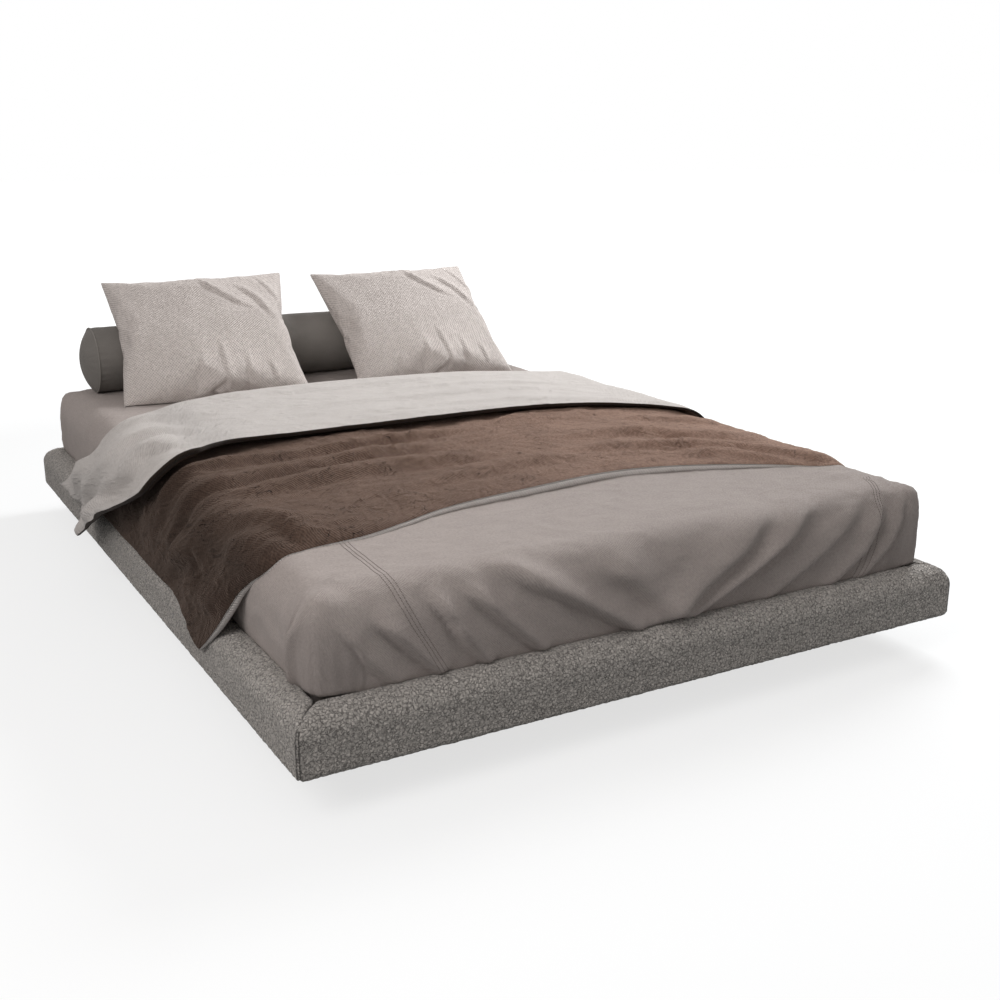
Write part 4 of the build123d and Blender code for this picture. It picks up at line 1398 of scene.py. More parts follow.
@dataclass
class FittedSheet:
    """The sheet pulled over the mattress, with the drag lines of its foot end."""

    block: RoundedBlock
    turn_under: float = 0.18
    thickness: float = 0.0012
    cut: tuple[float, float] = (2.21, 2.81)
    cut_area: float = 5.55
    seams: tuple[Path, ...] = (
        (
            (-0.544, -0.75), (-0.549, -0.865), (-0.548, -0.974),
            (-0.526, -1.045), (-0.49, -1.105), (-0.461, -1.15),
        ),
        (
            (0.630, -0.905), (0.598, -0.962), (0.580, -0.999), (0.5755, -1.042), (0.567, -1.07),
            (0.553, -1.099), (0.535, -1.125), (0.517, -1.147),
        ),
    )
    seam_gap: float = 0.008
    row_points: int = 90
    thread_lift: float = 0.0002
    spacings: tuple[float, float, float] = (0.03, 0.009, 0.0065)
    under_duvet: Point = (-0.6, 0.38)
    corner_stand: float = 0.034
    side_swell: float = 0.01
    folds: tuple[Fold, ...] = (
        Fold(((-0.69, -0.985), (-0.78, -0.955), (-0.86, -0.93)), 0.014, 0.016, 0.9, open_end=True),
        Fold(((-0.68, -1.02), (-0.62, -1.09), (-0.55, -1.155)), 0.013, 0.011, 0.8, open_end=True),
        Fold(((-0.60, -1.02), (-0.54, -1.08), (-0.475, -1.15)), 0.012, 0.018, 1.3, open_end=True),
        Fold(
            ((-0.50, -0.99), (-0.46, -1.04), (-0.425, -1.09), (-0.38, -1.15)),
            0.012, 0.018, 1.3, open_end=True,
        ),
        Fold(((-0.455, -1.06), (-0.40, -1.154)), 0.009, 0.009, 1.0, open_end=True),
        Fold(((-0.43, -0.99), (-0.35, -1.07), (-0.265, -1.15)), 0.013, 0.019, 1.3, open_end=True),
        Fold(
            ((-0.40, -0.97), (-0.326, -0.995), (-0.22, -1.05), (-0.06, -1.15)),
            0.016, 0.025, 1.4, open_end=True,
        ),
        Fold(((-0.34, -1.0), (-0.26, -1.05), (-0.17, -1.12)), 0.011, 0.010, 1.1),
        Fold(((-0.138, -1.0), (-0.05, -1.06), (0.025, -1.13)), 0.025, 0.016, 1.1, open_end=True),
        Fold(
            ((0.0, -1.15), (0.10, -1.08), (0.232, -1.005), (0.33, -0.965)),
            0.025, 0.024, 1.3, open_start=True,
        ),
        Fold(
            ((0.064, -1.155), (0.213, -1.078), (0.36, -1.001), (0.45, -0.975)),
            0.021, 0.028, 1.3, open_start=True,
        ),
        Fold(
            ((0.27, -1.155), (0.40, -1.08), (0.49, -1.02), (0.57, -0.98)),
            0.017, 0.012, 1.0, open_start=True,
        ),
        Fold(
            ((0.43, -1.166), (0.528, -1.09), (0.575, -1.02), (0.588, -0.97)),
            0.016, 0.016, 1.1, open_start=True,
        ),
        Fold(
            ((0.52, -1.167), (0.60, -1.09), (0.632, -1.04), (0.65, -0.98)),
            0.014, 0.014, 1.0, open_start=True,
        ),
        Fold(((-0.1, -0.93), (0.12, -0.9), (0.36, -0.93)), 0.035, 0.004),
        Fold(((0.42, -0.9), (0.56, -0.86), (0.66, -0.9)), 0.03, 0.004),
    )

    def relief(self, flat: np.ndarray) -> np.ndarray:
        """How far the sheet stands off the mattress.

        Args:
            flat: places on the cloth.

        Returns:
            The lift of each, in metres.
        """
        field_slow = CrinkleField(11)
        field_fine = CrinkleField(12)
        block = self.block
        over = np.maximum(np.abs(flat) - np.array([block.inner_x, block.inner_y]), 0.0)
        reach = over.max(axis=1)
        _, height = block.profile(reach)
        side = smooth_step(height, block.top - 0.03, block.top - 0.11)
        fade = smooth_step(height, block.bottom + 0.036, block.bottom + 0.052)
        lift = folded_relief(self.folds, flat)
        slow = field_slow.layered(flat * np.array([3.0, 4.5]), 2) * 0.004
        streaks = field_slow.ridged(flat * np.array([9.0, 9.0]), 2, 0.7)
        at_foot = smooth_step(flat[:, 1], -0.9, -1.0)
        streaks = streaks * (0.0035 * side * (1.0 - at_foot) + 0.001)
        fine = field_fine.ridged(flat * 26.0, 3, 0.8) * 0.0009
        rumpled = 0.0028 + 0.003 * smooth_step(flat[:, 1], 0.25, 0.5)
        fine += crackle(field_fine, flat * np.array([11.0, 15.0]), 1.0) * rumpled * (1.0 - side)
        corner = np.minimum(over[:, 0], over[:, 1]) / np.maximum(reach, 1e-6)
        gathers = np.sin(corner * 24.0) * 0.0007 * side * smooth_step(corner, 0.0, 0.1)
        square = np.clip(over.min(axis=1) / np.maximum(reach, 1e-6), 0.0, 1.0)
        square = np.sin(0.5 * math.pi * square) ** 2
        near_top = smooth_step(height, block.top - 0.02, block.top - 0.075)
        at_edge = smooth_step(height, block.top, block.top - 0.032)
        hanging = smooth_step(height, block.bottom + 0.03, block.bottom + 0.12)
        swell = self.corner_stand * square * at_edge
        swell = swell + self.side_swell * near_top * hanging * (1.0 - 0.8 * square)
        stand = lift + slow * (1.0 - 0.5 * side) + streaks + swell
        stand = 0.5 * (stand + np.sqrt(stand * stand + 0.003**2))
        return (stand + fine + gathers) * fade + 0.001

    def build(self, finishes: Finishes) -> bpy.types.Object:
        """Builds the sheet's surface and gives it its thickness.

        Args:
            finishes: the materials.

        Returns:
            The piece.
        """
        block = self.block
        rounded = block.plan_round - block.top_round + block.top_round * math.pi / 2
        side = block.top - block.bottom - block.top_round - block.bottom_round
        low = rounded + side + block.bottom_round * math.pi / 2
        end = low + self.turn_under - block.plan_round
        x0, y0 = block.inner_x, block.inner_y
        coarse, medium, fine = self.spacings
        across_bands = (
            (-x0 - end, -x0 - low, coarse),
            (-x0 - low, -x0, medium),
            (-x0, x0, medium),
            (x0, x0 + low, medium),
            (x0 + low, x0 + end, coarse),
        )
        foot_end, head_start = self.under_duvet
        along_bands = (
            (-y0 - end, -y0 - low, coarse),
            (-y0 - low, foot_end, fine),
            (foot_end, head_start, coarse),
            (head_start, y0 + low, medium),
            (y0 + low, y0 + end, coarse),
        )
        across, along = stretched_stations(across_bands), stretched_stations(along_bands)
        flat = np.stack(np.meshgrid(across, along), axis=2).reshape(-1, 2)
        step = 1e-4
        across_way = block.place(flat + [step, 0.0]) - block.place(flat - [step, 0.0])
        along_way = block.place(flat + [0.0, step]) - block.place(flat - [0.0, step])
        normals = np.cross(across_way, along_way)
        lengths = np.linalg.norm(normals, axis=1, keepdims=True)
        normals = np.where(lengths > 1e-12, normals / np.maximum(lengths, 1e-12), [0.0, 0.0, 1.0])
        points = block.place(flat) + normals * self.relief(flat)[:, None]
        parts = MeshParts(points, grid_faces(len(along), len(across)), flat)
        piece = parts.build("fitted_sheet_cloth", [finishes["sheet_cotton"]])
        turn_outwards(piece, merge=2e-5)
        solid = piece.modifiers.new("hem", "SOLIDIFY")
        solid.thickness = self.thickness
        solid.offset = -1.0
        return piece

    def sewn_row(self, tree: BVHTree, seam: Path, shift: float) -> list[Vector]:
        """Places on the sheet along a row of stitches.

        Args:
            tree: the sheet's faces.
            seam: the seam's line, in flat coordinates.
            shift: how far the row is from that line.

        Returns:
            The places, evenly spaced along the bed.
        """
        along = np.linspace(seam[0][1], seam[-1][1], self.row_points)
        table = tuple((y, x) for x, y in reversed(seam))
        flat = np.column_stack([smooth_curve(along, table) + shift, along])
        found = []
        for place in self.block.place(flat):
            spot = Vector(place)
            inward = (Vector((place[0], place[1] * 0.9, 0.25)) - spot).normalized()
            hit = tree.ray_cast(spot - inward * 0.09, inward)
            found.append(hit[0] - inward * self.thread_lift)
        return found

    def stitch(
        self, sheet: bpy.types.Object, recipes: GeometryRecipes, finishes: Finishes
    ) -> bpy.types.Object:
        """Sews the three rows of the seam near each corner of the foot.

        Args:
            sheet: the sheet, which the thread lies on.
            recipes: the Geometry Nodes trees.
            finishes: the materials.

        Returns:
            The thread.
        """
        tree = BVHTree.FromObject(sheet, bpy.context.evaluated_depsgraph_get())
        count = self.row_points
        points, edges = [], []
        for seam, row in itertools.product(self.seams, (-1, 0, 1)):
            edges += itertools.pairwise(range(len(points), len(points) + count))
            points += self.sewn_row(tree, seam, row * self.seam_gap)
        mesh = bpy.data.meshes.new("sheet_seam_thread")
        mesh.from_pydata([tuple(point) for point in points], edges, [])
        piece = bpy.data.objects.new("sheet_seam_thread", mesh)
        bpy.context.scene.collection.objects.link(piece)
        recipes.apply(piece, recipes.stitches, {"Finish": finishes["seam_thread"]})
        return piece

    def dress(self, recipes: GeometryRecipes, finishes: Finishes) -> None:
        """Builds sheet and seam and puts the sheet in place of the plain one.

        Args:
            recipes: the Geometry Nodes trees.
            finishes: the materials.
        """
        piece = self.build(finishes)
        thread = self.stitch(piece, recipes, finishes)
        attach(piece, ROOT_BODY)
        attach(thread, ROOT_BODY)
        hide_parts("fitted_sheet")
        LOG.info("%s: %d faces", piece.name, len(piece.data.polygons))


@dataclass(frozen=True)
class LayerRelief:
    """What raises one layer of the duvet: its folds, swells, creases, crackle and flutes.

    Rates are cells of noise to the metre, across and along, but the flutes' rate is in radians. Shifts tell
    the noise of one layer from that of the other.
    """

    folds: tuple[Fold, ...]
    swell_rates: Point
    swell_height: float
    crease_rates: Point
    crease_height: float
    crease_warp: float
    crackle_rates: Point
    crackle_height: float
    flute_rate: float
    flute_height: float
    swell_shift: float = 0.0
    crease_shift: float = 0.0
    crackle_shift: float = 0.0
    hanging_calm: float = 0.0


LOWER_LAYER = LayerRelief(
    folds=(
        Fold(
            ((-0.86, -0.16), (-0.76, -0.24), (-0.60, -0.215), (-0.30, -0.185), (0.2, -0.18)),
            0.022, 0.014, 1.2,
        ),
        Fold(
            ((-0.86, -0.18), (-0.76, -0.33), (-0.64, -0.36), (-0.36, -0.30), (0.05, -0.275)),
            0.028, 0.018, 1.2,
        ),
        Fold(
            ((-0.74, -0.36), (-0.60, -0.44), (-0.45, -0.42), (-0.2, -0.405), (0.1, -0.43)),
            0.032, 0.014, 1.1,
        ),
        Fold(((-0.40, -0.58), (-0.2, -0.55), (0.05, -0.52), (0.25, -0.535)), 0.030, 0.011, 1.0),
        Fold(((-0.68, -0.52), (-0.63, -0.66), (-0.60, -0.79)), 0.024, 0.015, 1.0, open_end=True),
        Fold(((-0.88, -0.26), (-0.80, -0.36), (-0.74, -0.50), (-0.76, -0.62)), 0.030, 0.020, 1.1),
        Fold(((-0.90, -0.42), (-0.84, -0.50), (-0.82, -0.62)), 0.024, 0.015, 1.0, open_end=True),
        Fold(((0.12, -0.33), (0.35, -0.38), (0.55, -0.50), (0.66, -0.62)), 0.032, 0.015, 1.1),
        Fold(((0.05, -0.45), (0.3, -0.50), (0.52, -0.63), (0.62, -0.76)), 0.026, 0.013, 1.0, open_end=True),
        Fold(((0.3, -0.60), (0.45, -0.66), (0.56, -0.76)), 0.022, 0.009, 0.9, open_end=True),
        Fold(((0.4, -0.22), (0.55, -0.28), (0.68, -0.40)), 0.025, 0.010, 0.9),
    ),
    swell_rates=(3.4, 6.5),
    swell_height=0.007,
    crease_rates=(6.0, 12.0),
    crease_height=0.006,
    crease_warp=1.4,
    crackle_rates=(14.0, 20.0),
    crackle_height=0.0055,
    flute_rate=20.0,
    flute_height=0.010,
    hanging_calm=0.3,
)
FLAP_LAYER = LayerRelief(
    folds=(
        Fold(((-0.90, 0.46), (-0.80, 0.24), (-0.68, 0.07), (-0.52, 0.03)), 0.036, 0.022, 1.0),
        Fold(
            ((-0.93, 0.20), (-0.84, 0.16), (-0.76, 0.10), (-0.69, -0.02)),
            0.034, 0.028, 1.2, open_end=True,
        ),
        Fold(((-0.96, 0.10), (-0.89, 0.04), (-0.82, -0.04)), 0.028, 0.022, 1.2, open_start=True),
        Fold(((-0.92, 0.58), (-0.84, 0.42), (-0.74, 0.26)), 0.030, 0.016, 0.9),
        Fold(((-0.72, 0.24), (-0.60, 0.20), (-0.46, 0.22)), 0.030, 0.010, 0.8),
        Fold(((-0.6, 0.33), (-0.3, 0.38), (0.1, 0.36), (0.4, 0.32)), 0.026, 0.006, 0.6),
        Fold(((-0.45, 0.14), (-0.1, 0.17), (0.25, 0.14), (0.6, 0.05)), 0.028, 0.006, 0.6),
        Fold(((-0.3, -0.01), (0.1, 0.01), (0.5, -0.06)), 0.024, 0.005, 0.6),
        Fold(((0.0, 0.26), (0.3, 0.24), (0.62, 0.14)), 0.024, 0.005, 0.6),
    ),
    swell_rates=(2.8, 5.0),
    swell_height=0.006,
    crease_rates=(6.0, 11.0),
    crease_height=0.004,
    crease_warp=1.2,
    crackle_rates=(17.0, 24.0),
    crackle_height=0.003,
    flute_rate=21.0,
    flute_height=0.012,
    swell_shift=7.7,
    crease_shift=31.0,
    crackle_shift=11.0,
)


@dataclass
class Duvet:
    """The padded duvet, folded back on itself: brown face, light reverse.

    Its flat coordinates are the length of cloth across from the bed's middle and the place along the bed.
    """

    edge_x: float = 0.645
    edge_z: float = 0.3203
    turn: float = 0.055
    lean: float = math.radians(19.0)
    drop: float = 0.158
    thickness: float = 0.021
    hem_thickness: float = 0.007
    plump: float = 1.25
    stand_off: float = 0.0016
    gap: float = 0.0016
    front_roll: float = 0.17
    left_thinning: float = 0.86
    right_thinning: float = 0.30
    opening_reach: float = 0.09
    undercut: float = 0.010
    hem_calm: float = 0.3
    right_calm: float = 0.55
    dent: float = 0.004
    flap_rise: float = 0.003
    flap_overlap: float = 0.018
    front_tip: Point = (0.1, 0.05)
    flap_tip: Point = (0.16, 0.055)
    tip_shares: Point = (0.78, 1.0)
    columns: int = 240
    lower_rows: tuple[int, int] = (100, 28)
    front_share: float = 0.62
    fold_rows: int = 10
    flap_rows: int = 86
    wall_shares: tuple[float, ...] = (0.12, 0.35, 0.65, 0.88)
    flap_opening: Path = (
        (-0.98, 0.016), (-0.9, 0.030), (-0.82, 0.037), (-0.74, 0.035),
        (-0.62, 0.026), (-0.5, 0.016), (-0.2, 0.010),
        (0.1, 0.008), (0.4, 0.006), (0.6, 0.004), (0.92, 0.003),
    )
    front_band: Path = (
        (-0.96, 0.003), (-0.92, 0.006), (-0.86, 0.013), (-0.80, 0.015), (-0.74, 0.010), (-0.69, 0.005),
        (-0.62, 0.004), (-0.5, 0.008), (-0.32, 0.012), (-0.09, 0.018), (0.2, 0.018), (0.4, 0.013),
        (0.53, 0.007), (0.6, 0.004), (0.92, 0.003),
    )
    front: Path = (
        (-0.96, -0.53), (-0.94, -0.55), (-0.90, -0.60), (-0.85, -0.65), (-0.80, -0.685), (-0.765, -0.705),
        (-0.73, -0.74), (-0.70, -0.78),
        (-0.66, -0.785), (-0.60, -0.772), (-0.5, -0.765), (-0.41, -0.735), (-0.323, -0.70), (-0.09, -0.665),
        (0.2, -0.645), (0.395, -0.695), (0.53, -0.75), (0.60, -0.79), (0.66, -0.80), (0.74, -0.785),
        (0.84, -0.76), (0.92, -0.70),
    )
    back: Path = (
        (-0.92, 0.72), (-0.88, 0.65), (-0.84, 0.57), (-0.80, 0.48),
        (-0.74, 0.345), (-0.69, 0.28), (-0.61, 0.31),
        (-0.52, 0.385), (-0.39, 0.435), (-0.1, 0.47), (0.05, 0.46),
        (0.3, 0.43), (0.5, 0.395), (0.62, 0.38), (0.72, 0.40),
        (0.82, 0.44), (0.92, 0.49),
    )
    flap: Path = (
        (-1.0, 0.42), (-0.945, 0.31), (-0.89, 0.19), (-0.834, 0.07), (-0.78, -0.06), (-0.735, -0.16),
        (-0.69, -0.23), (-0.65, -0.215), (-0.61, -0.175), (-0.55, -0.13), (-0.494, -0.107), (-0.368, -0.092),
        (-0.09, -0.089), (0.144, -0.078), (0.376, -0.097), (0.553, -0.15), (0.60, -0.175),
        (0.66, -0.235), (0.74, -0.26), (0.83, -0.22), (0.92, -0.16),
    )

    def __post_init__(self) -> None:
        """Draws the fields that crease the cloth."""
        self.slow = CrinkleField(21)
        self.creases = CrinkleField(22)
        self.fine = CrinkleField(23)

    def lie(self, across: np.ndarray, along: np.ndarray, offset: np.ndarray) -> np.ndarray:
        """Places in space of cloth laid over the mattress and down its sides.

        Args:
            across: lengths of cloth from the middle, measured on the mattress itself.
            along: places along the bed.
            offset: how far the cloth stands off the mattress.

        Returns:
            The places, in the layout that is given.
        """
        length = np.abs(across)
        bend = math.pi / 2 - self.lean
        turned = np.clip((length - self.edge_x) / self.turn, 0.0, bend)
        down = np.maximum(length - self.edge_x - self.turn * bend, 0.0)
        radius = self.turn + offset
        x = np.minimum(length, self.edge_x) + radius * np.sin(turned) + down * math.sin(self.lean)
        z = self.edge_z + radius * np.cos(turned) - down * math.cos(self.lean)
        return np.stack([np.sign(across) * x, along, z], axis=-1)

    @property
    def hem(self) -> float:
        """The length of cloth from the middle to the hem of the lower layer."""
        return self.edge_x + self.turn * (math.pi / 2 - self.lean) + self.drop

    def hanging(self, across: np.ndarray) -> np.ndarray:
        """0 on top of the bed, 1 well down its sides."""
        return smooth_step(np.abs(across), self.edge_x + 0.03, self.edge_x + 0.15)

    def relief(self, layer: LayerRelief, flat: np.ndarray) -> np.ndarray:
        """How far a layer of the duvet is raised, in metres.

        Args:
            layer: what raises it.
            flat: flat places on it.

        Returns:
            The lift of each.
        """
        hang = self.hanging(flat[:, 0])
        swells = self.slow.layered(flat * layer.swell_rates + layer.swell_shift, 2)
        ridges = self.creases.ridged(flat * layer.crease_rates + layer.crease_shift, 2, layer.crease_warp)
        rough = layer.swell_height * swells
        rough += layer.crease_height * ridges * (1.0 - layer.hanging_calm * hang)
        rough += crackle(self.fine, flat * layer.crackle_rates + layer.crackle_shift, layer.crackle_height)
        rough += self.flutes(flat, layer.flute_rate, layer.flute_height, hang)
        return folded_relief(layer.folds, flat) + rough * self.smoother(flat)

    def smoother(self, flat: np.ndarray) -> np.ndarray:
        """1 over most of the duvet, less toward its right edge, which lies smooth."""
        return 1.0 - self.right_calm * smooth_step(flat[:, 0], 0.40, 0.62)

    def flutes(self, flat: np.ndarray, rate: float, height: float, hang: np.ndarray) -> np.ndarray:
        """The upright waves of the hanging sides, slight on the right one.

        Args:
            flat: flat places.
            rate: waves along the bed, in radians to the metre.
            height: how far they stand out.
            hang: 0 on top of the bed, 1 well down its sides.

        Returns:
            The lift of each place.
        """
        wave = 0.5 + 0.5 * np.sin(flat[:, 1] * rate + 2.5 * self.slow.noise(flat * 2.0 + 3.3))
        side = np.where(flat[:, 0] < 0.0, 1.0, 0.6 * hang)
        return height * wave * hang * side

    def spread(self, shares: np.ndarray, from_tip: np.ndarray, hem: float, tip: Point) -> np.ndarray:
        """The places across of a layer's points; its left corner runs out in a tip.

        Args:
            shares: each column's share of the way from the middle to the hem.
            from_tip: each row's distance from the tip's edge, as a share of the layer's length.
            hem: the length of cloth from the middle to the hem.
            tip: the reach of the tip along the layer, as such a share, and its length.

        Returns:
            The places, row by row.
        """
        reach, length = tip
        at_left = smooth_step(np.abs(shares), *self.tip_shares) * (shares < 0.0)
        drawn = np.exp(-((from_tip / reach) ** 2))[:, None] * length
        return np.sign(shares) * (np.abs(shares) * hem + drawn * at_left)

    def build(self, finishes: Finishes) -> bpy.types.Object:
        """Builds the closed shell of the folded duvet.

        Args:
            finishes: the materials.

        Returns:
            The piece, brown face first.
        """
        shares = np.linspace(-1.0, 1.0, self.columns)
        front_rows, back_rows = self.lower_rows
        front_part = np.linspace(0.0, self.front_share, front_rows, endpoint=False)
        t_lower = np.concatenate([front_part, np.linspace(self.front_share, 1.0, back_rows)])
        t_flap = np.linspace(0.0, 1.0, self.flap_rows)
        low_u = self.spread(shares, t_lower, self.hem, self.front_tip)
        flap_u = self.spread(shares, t_flap - 1.0, self.hem + self.flap_overlap, self.flap_tip)
        low_y = between(smooth_curve(low_u[0], self.front), smooth_curve(low_u[-1], self.back), t_lower)
        flap_y = between(smooth_curve(flap_u[0], self.back), smooth_curve(flap_u[-1], self.flap), t_flap)
        low_flat = np.stack([low_u, low_y], axis=2).reshape(-1, 2)
        flap_flat = np.stack([flap_u, flap_y], axis=2).reshape(-1, 2)
        low_lift = self.relief(LOWER_LAYER, low_flat).reshape(low_u.shape)
        flap_lift = self.relief(FLAP_LAYER, flap_flat).reshape(flap_u.shape)
        free_edge = smooth_curve(low_u[0], self.flap)[None, :]
        low_lift = low_lift * (1.0 - 0.75 * smooth_step(low_y, free_edge, free_edge + 0.06))
        from_hem = smooth_step(self.hem - np.abs(low_u), 0.0, 0.07)
        low_lift = low_lift * (self.hem_calm + (1.0 - self.hem_calm) * from_hem)
        near_ends = smooth_step(t_lower, 0.0, 0.03)[:, None] * (1 - smooth_step(t_lower, 0.97, 1.0))[:, None]
        low_lift = low_lift * near_ends
        flap_lift = flap_lift * smooth_step(t_flap, 0.0, 0.06)[:, None]
        flap_lift = flap_lift * (0.35 + 0.65 * smooth_step(t_flap, 1.0, 0.93))[:, None]
        thinning = np.where(shares < 0.0, self.left_thinning, self.right_thinning)
        filled = smooth_step((1.0 - np.abs(shares)) / (1.0 - thinning), 0.0, 1.0)[None, :]
        depth = self.hem_thickness + (self.thickness - self.hem_thickness) * filled
        band = smooth_curve(low_u[0], self.front_band)[None, :]
        from_front = (low_y - low_y[:1]) / self.front_roll
        roll = np.sqrt(np.clip(1.0 - (1.0 - np.clip(from_front, 0.0, 1.0)) ** 2, 0.0, 1.0))
        low_bottom = np.full(low_u.shape, self.stand_off)
        low_top = self.stand_off + band + (depth * self.plump - band) * roll
        low_top = low_top + np.maximum(low_lift, -self.dent)
        from_edge = np.abs(flap_y - flap_y[-1:])
        opening = smooth_curve(flap_u[-1], self.flap_opening)[None, :]
        opening = opening * smooth_step(from_edge, self.opening_reach, 0.0)
        thin = 1.0 - 0.45 * smooth_step(from_edge, 0.05, 0.0) * smooth_step(flap_u, -0.95, -0.45)
        columns = zip(flap_y.T, low_y.T, low_top.T)
        resting = np.stack([np.interp(over, under, tops) for over, under, tops in columns], axis=1)
        swollen = np.maximum(flap_lift, 0.0)
        flap_base = depth * self.plump + self.stand_off + self.gap + self.flap_rise
        flap_bottom = np.maximum(flap_base + opening + 0.35 * swollen, resting + self.gap)
        flap_top = flap_bottom + depth * thin + 0.65 * swollen + np.clip(flap_lift, -self.dent, 0.0)
        angles = np.linspace(0.0, math.pi, self.fold_rows + 2)[1:-1]
        bulge = np.sin(angles)[:, None]
        ends = ((low_u, flap_u), (low_y, flap_y), (low_top, flap_bottom), (low_bottom, flap_top))
        turned = [between(lower[-1], upper[0], 0.5 - 0.5 * np.cos(angles)) for lower, upper in ends]
        fold_u, fold_y, fold_inside, fold_outside = turned
        half = (flap_top[0] - low_bottom[-1]) / 2
        cut_back = self.undercut * smooth_step(from_edge, 0.04, 0.0)
        brown = [
            self.lie(low_u, low_y, low_top),
            self.lie(fold_u, fold_y + 0.001 * bulge, fold_inside),
            self.lie(flap_u, flap_y + cut_back, flap_bottom),
        ]
        light = [
            self.lie(low_u, low_y, low_bottom),
            self.lie(fold_u, fold_y + half * bulge, fold_outside),
            self.lie(flap_u, flap_y, flap_top),
        ]
        return self.close(np.concatenate(brown), np.concatenate(light), finishes)

    def close(self, brown: np.ndarray, light: np.ndarray, finishes: Finishes) -> bpy.types.Object:
        """Joins the two faces of the duvet by a rounded wall round their edge.

        Args:
            brown: the brown face's points, row by row from the foot hem.
            light: the light reverse's points in the same layout.
            finishes: the materials.

        Returns:
            The closed piece.
        """
        rows, columns, _ = brown.shape
        count = rows * columns
        numbers = np.arange(count).reshape(rows, columns)
        border = np.concatenate([numbers[0, :-1], numbers[:-1, -1], numbers[-1, :0:-1], numbers[:0:-1, 0]])
        inward = np.zeros((rows, columns, 3))
        inward[0] = brown[2] - brown[0]
        inward[-1] = brown[-3] - brown[-1]
        inward[:, 0] += brown[:, 2] - brown[:, 0]
        inward[:, -1] += brown[:, -3] - brown[:, -1]
        way = -inward.reshape(-1, 3)[border]
        way = way / np.maximum(np.linalg.norm(way, axis=1, keepdims=True), 1e-9)
        flat_brown, flat_light = brown.reshape(-1, 3), light.reshape(-1, 3)
        top, bottom = flat_brown[border], flat_light[border]
        depth = np.linalg.norm(top - bottom, axis=1, keepdims=True)
        wall = [
            top + (bottom - top) * share + way * (0.32 * depth * math.sin(math.pi * share))
            for share in self.wall_shares
        ]
        rings = [2 * count + index * len(border) + np.arange(len(border)) for index in range(len(wall))]
        faces = [grid_faces(rows, columns), grid_faces(rows, columns, start=count)[:, ::-1]]
        finish = [np.zeros(len(faces[0])), np.ones(len(faces[1]))]
        # The wall along the flap's free edge takes the near black painted shade finish, for the shadow under it.
        painted_shade_edge = np.where(np.isin(border, numbers[-1]), 2.0, 1.0)
        for upper, lower in itertools.pairwise([border, *rings, border + count]):
            faces.append(np.stack([upper, lower, np.roll(lower, -1), np.roll(upper, -1)], axis=1))
            finish.append(painted_shade_edge)
        lengths = np.zeros((rows, columns, 2))
        lengths[:, 1:, 0] = np.cumsum(np.linalg.norm(np.diff(brown, axis=1), axis=2), axis=1)
        lengths[1:, :, 1] = np.cumsum(np.linalg.norm(np.diff(light, axis=0), axis=2), axis=0)
        lengths[:, :, 0] -= lengths[:, columns // 2, 0][:, None]
        lengths[:, :, 1] -= lengths[0, :, 1][None, :]
        flat = lengths.reshape(-1, 2)
        wall_flat = [flat[border] + way[:, :2] * 0.004 * (index + 1) for index in range(len(wall))]
        apart = 4.0
        parts = MeshParts(
            np.concatenate([flat_brown, flat_light, *wall]),
            np.concatenate(faces),
            np.concatenate([flat, flat + apart, np.concatenate(wall_flat) + apart]),
            np.concatenate(finish),
        )
        names = ("duvet_brown_face", "duvet_light_reverse", "duvet_edge_binding")
        piece = parts.build("folded_duvet", [finishes[name] for name in names])
        turn_outwards(piece)
        return piece

    def dress(self, finishes: Finishes) -> None:
        """Builds the duvet and puts it in place of the plain one.

        Args:
            finishes: the materials.
        """
        piece = self.build(finishes)
        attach(piece, ROOT_BODY)
        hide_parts("duvet")
        LOG.info("%s: %d faces", piece.name, len(piece.data.polygons))


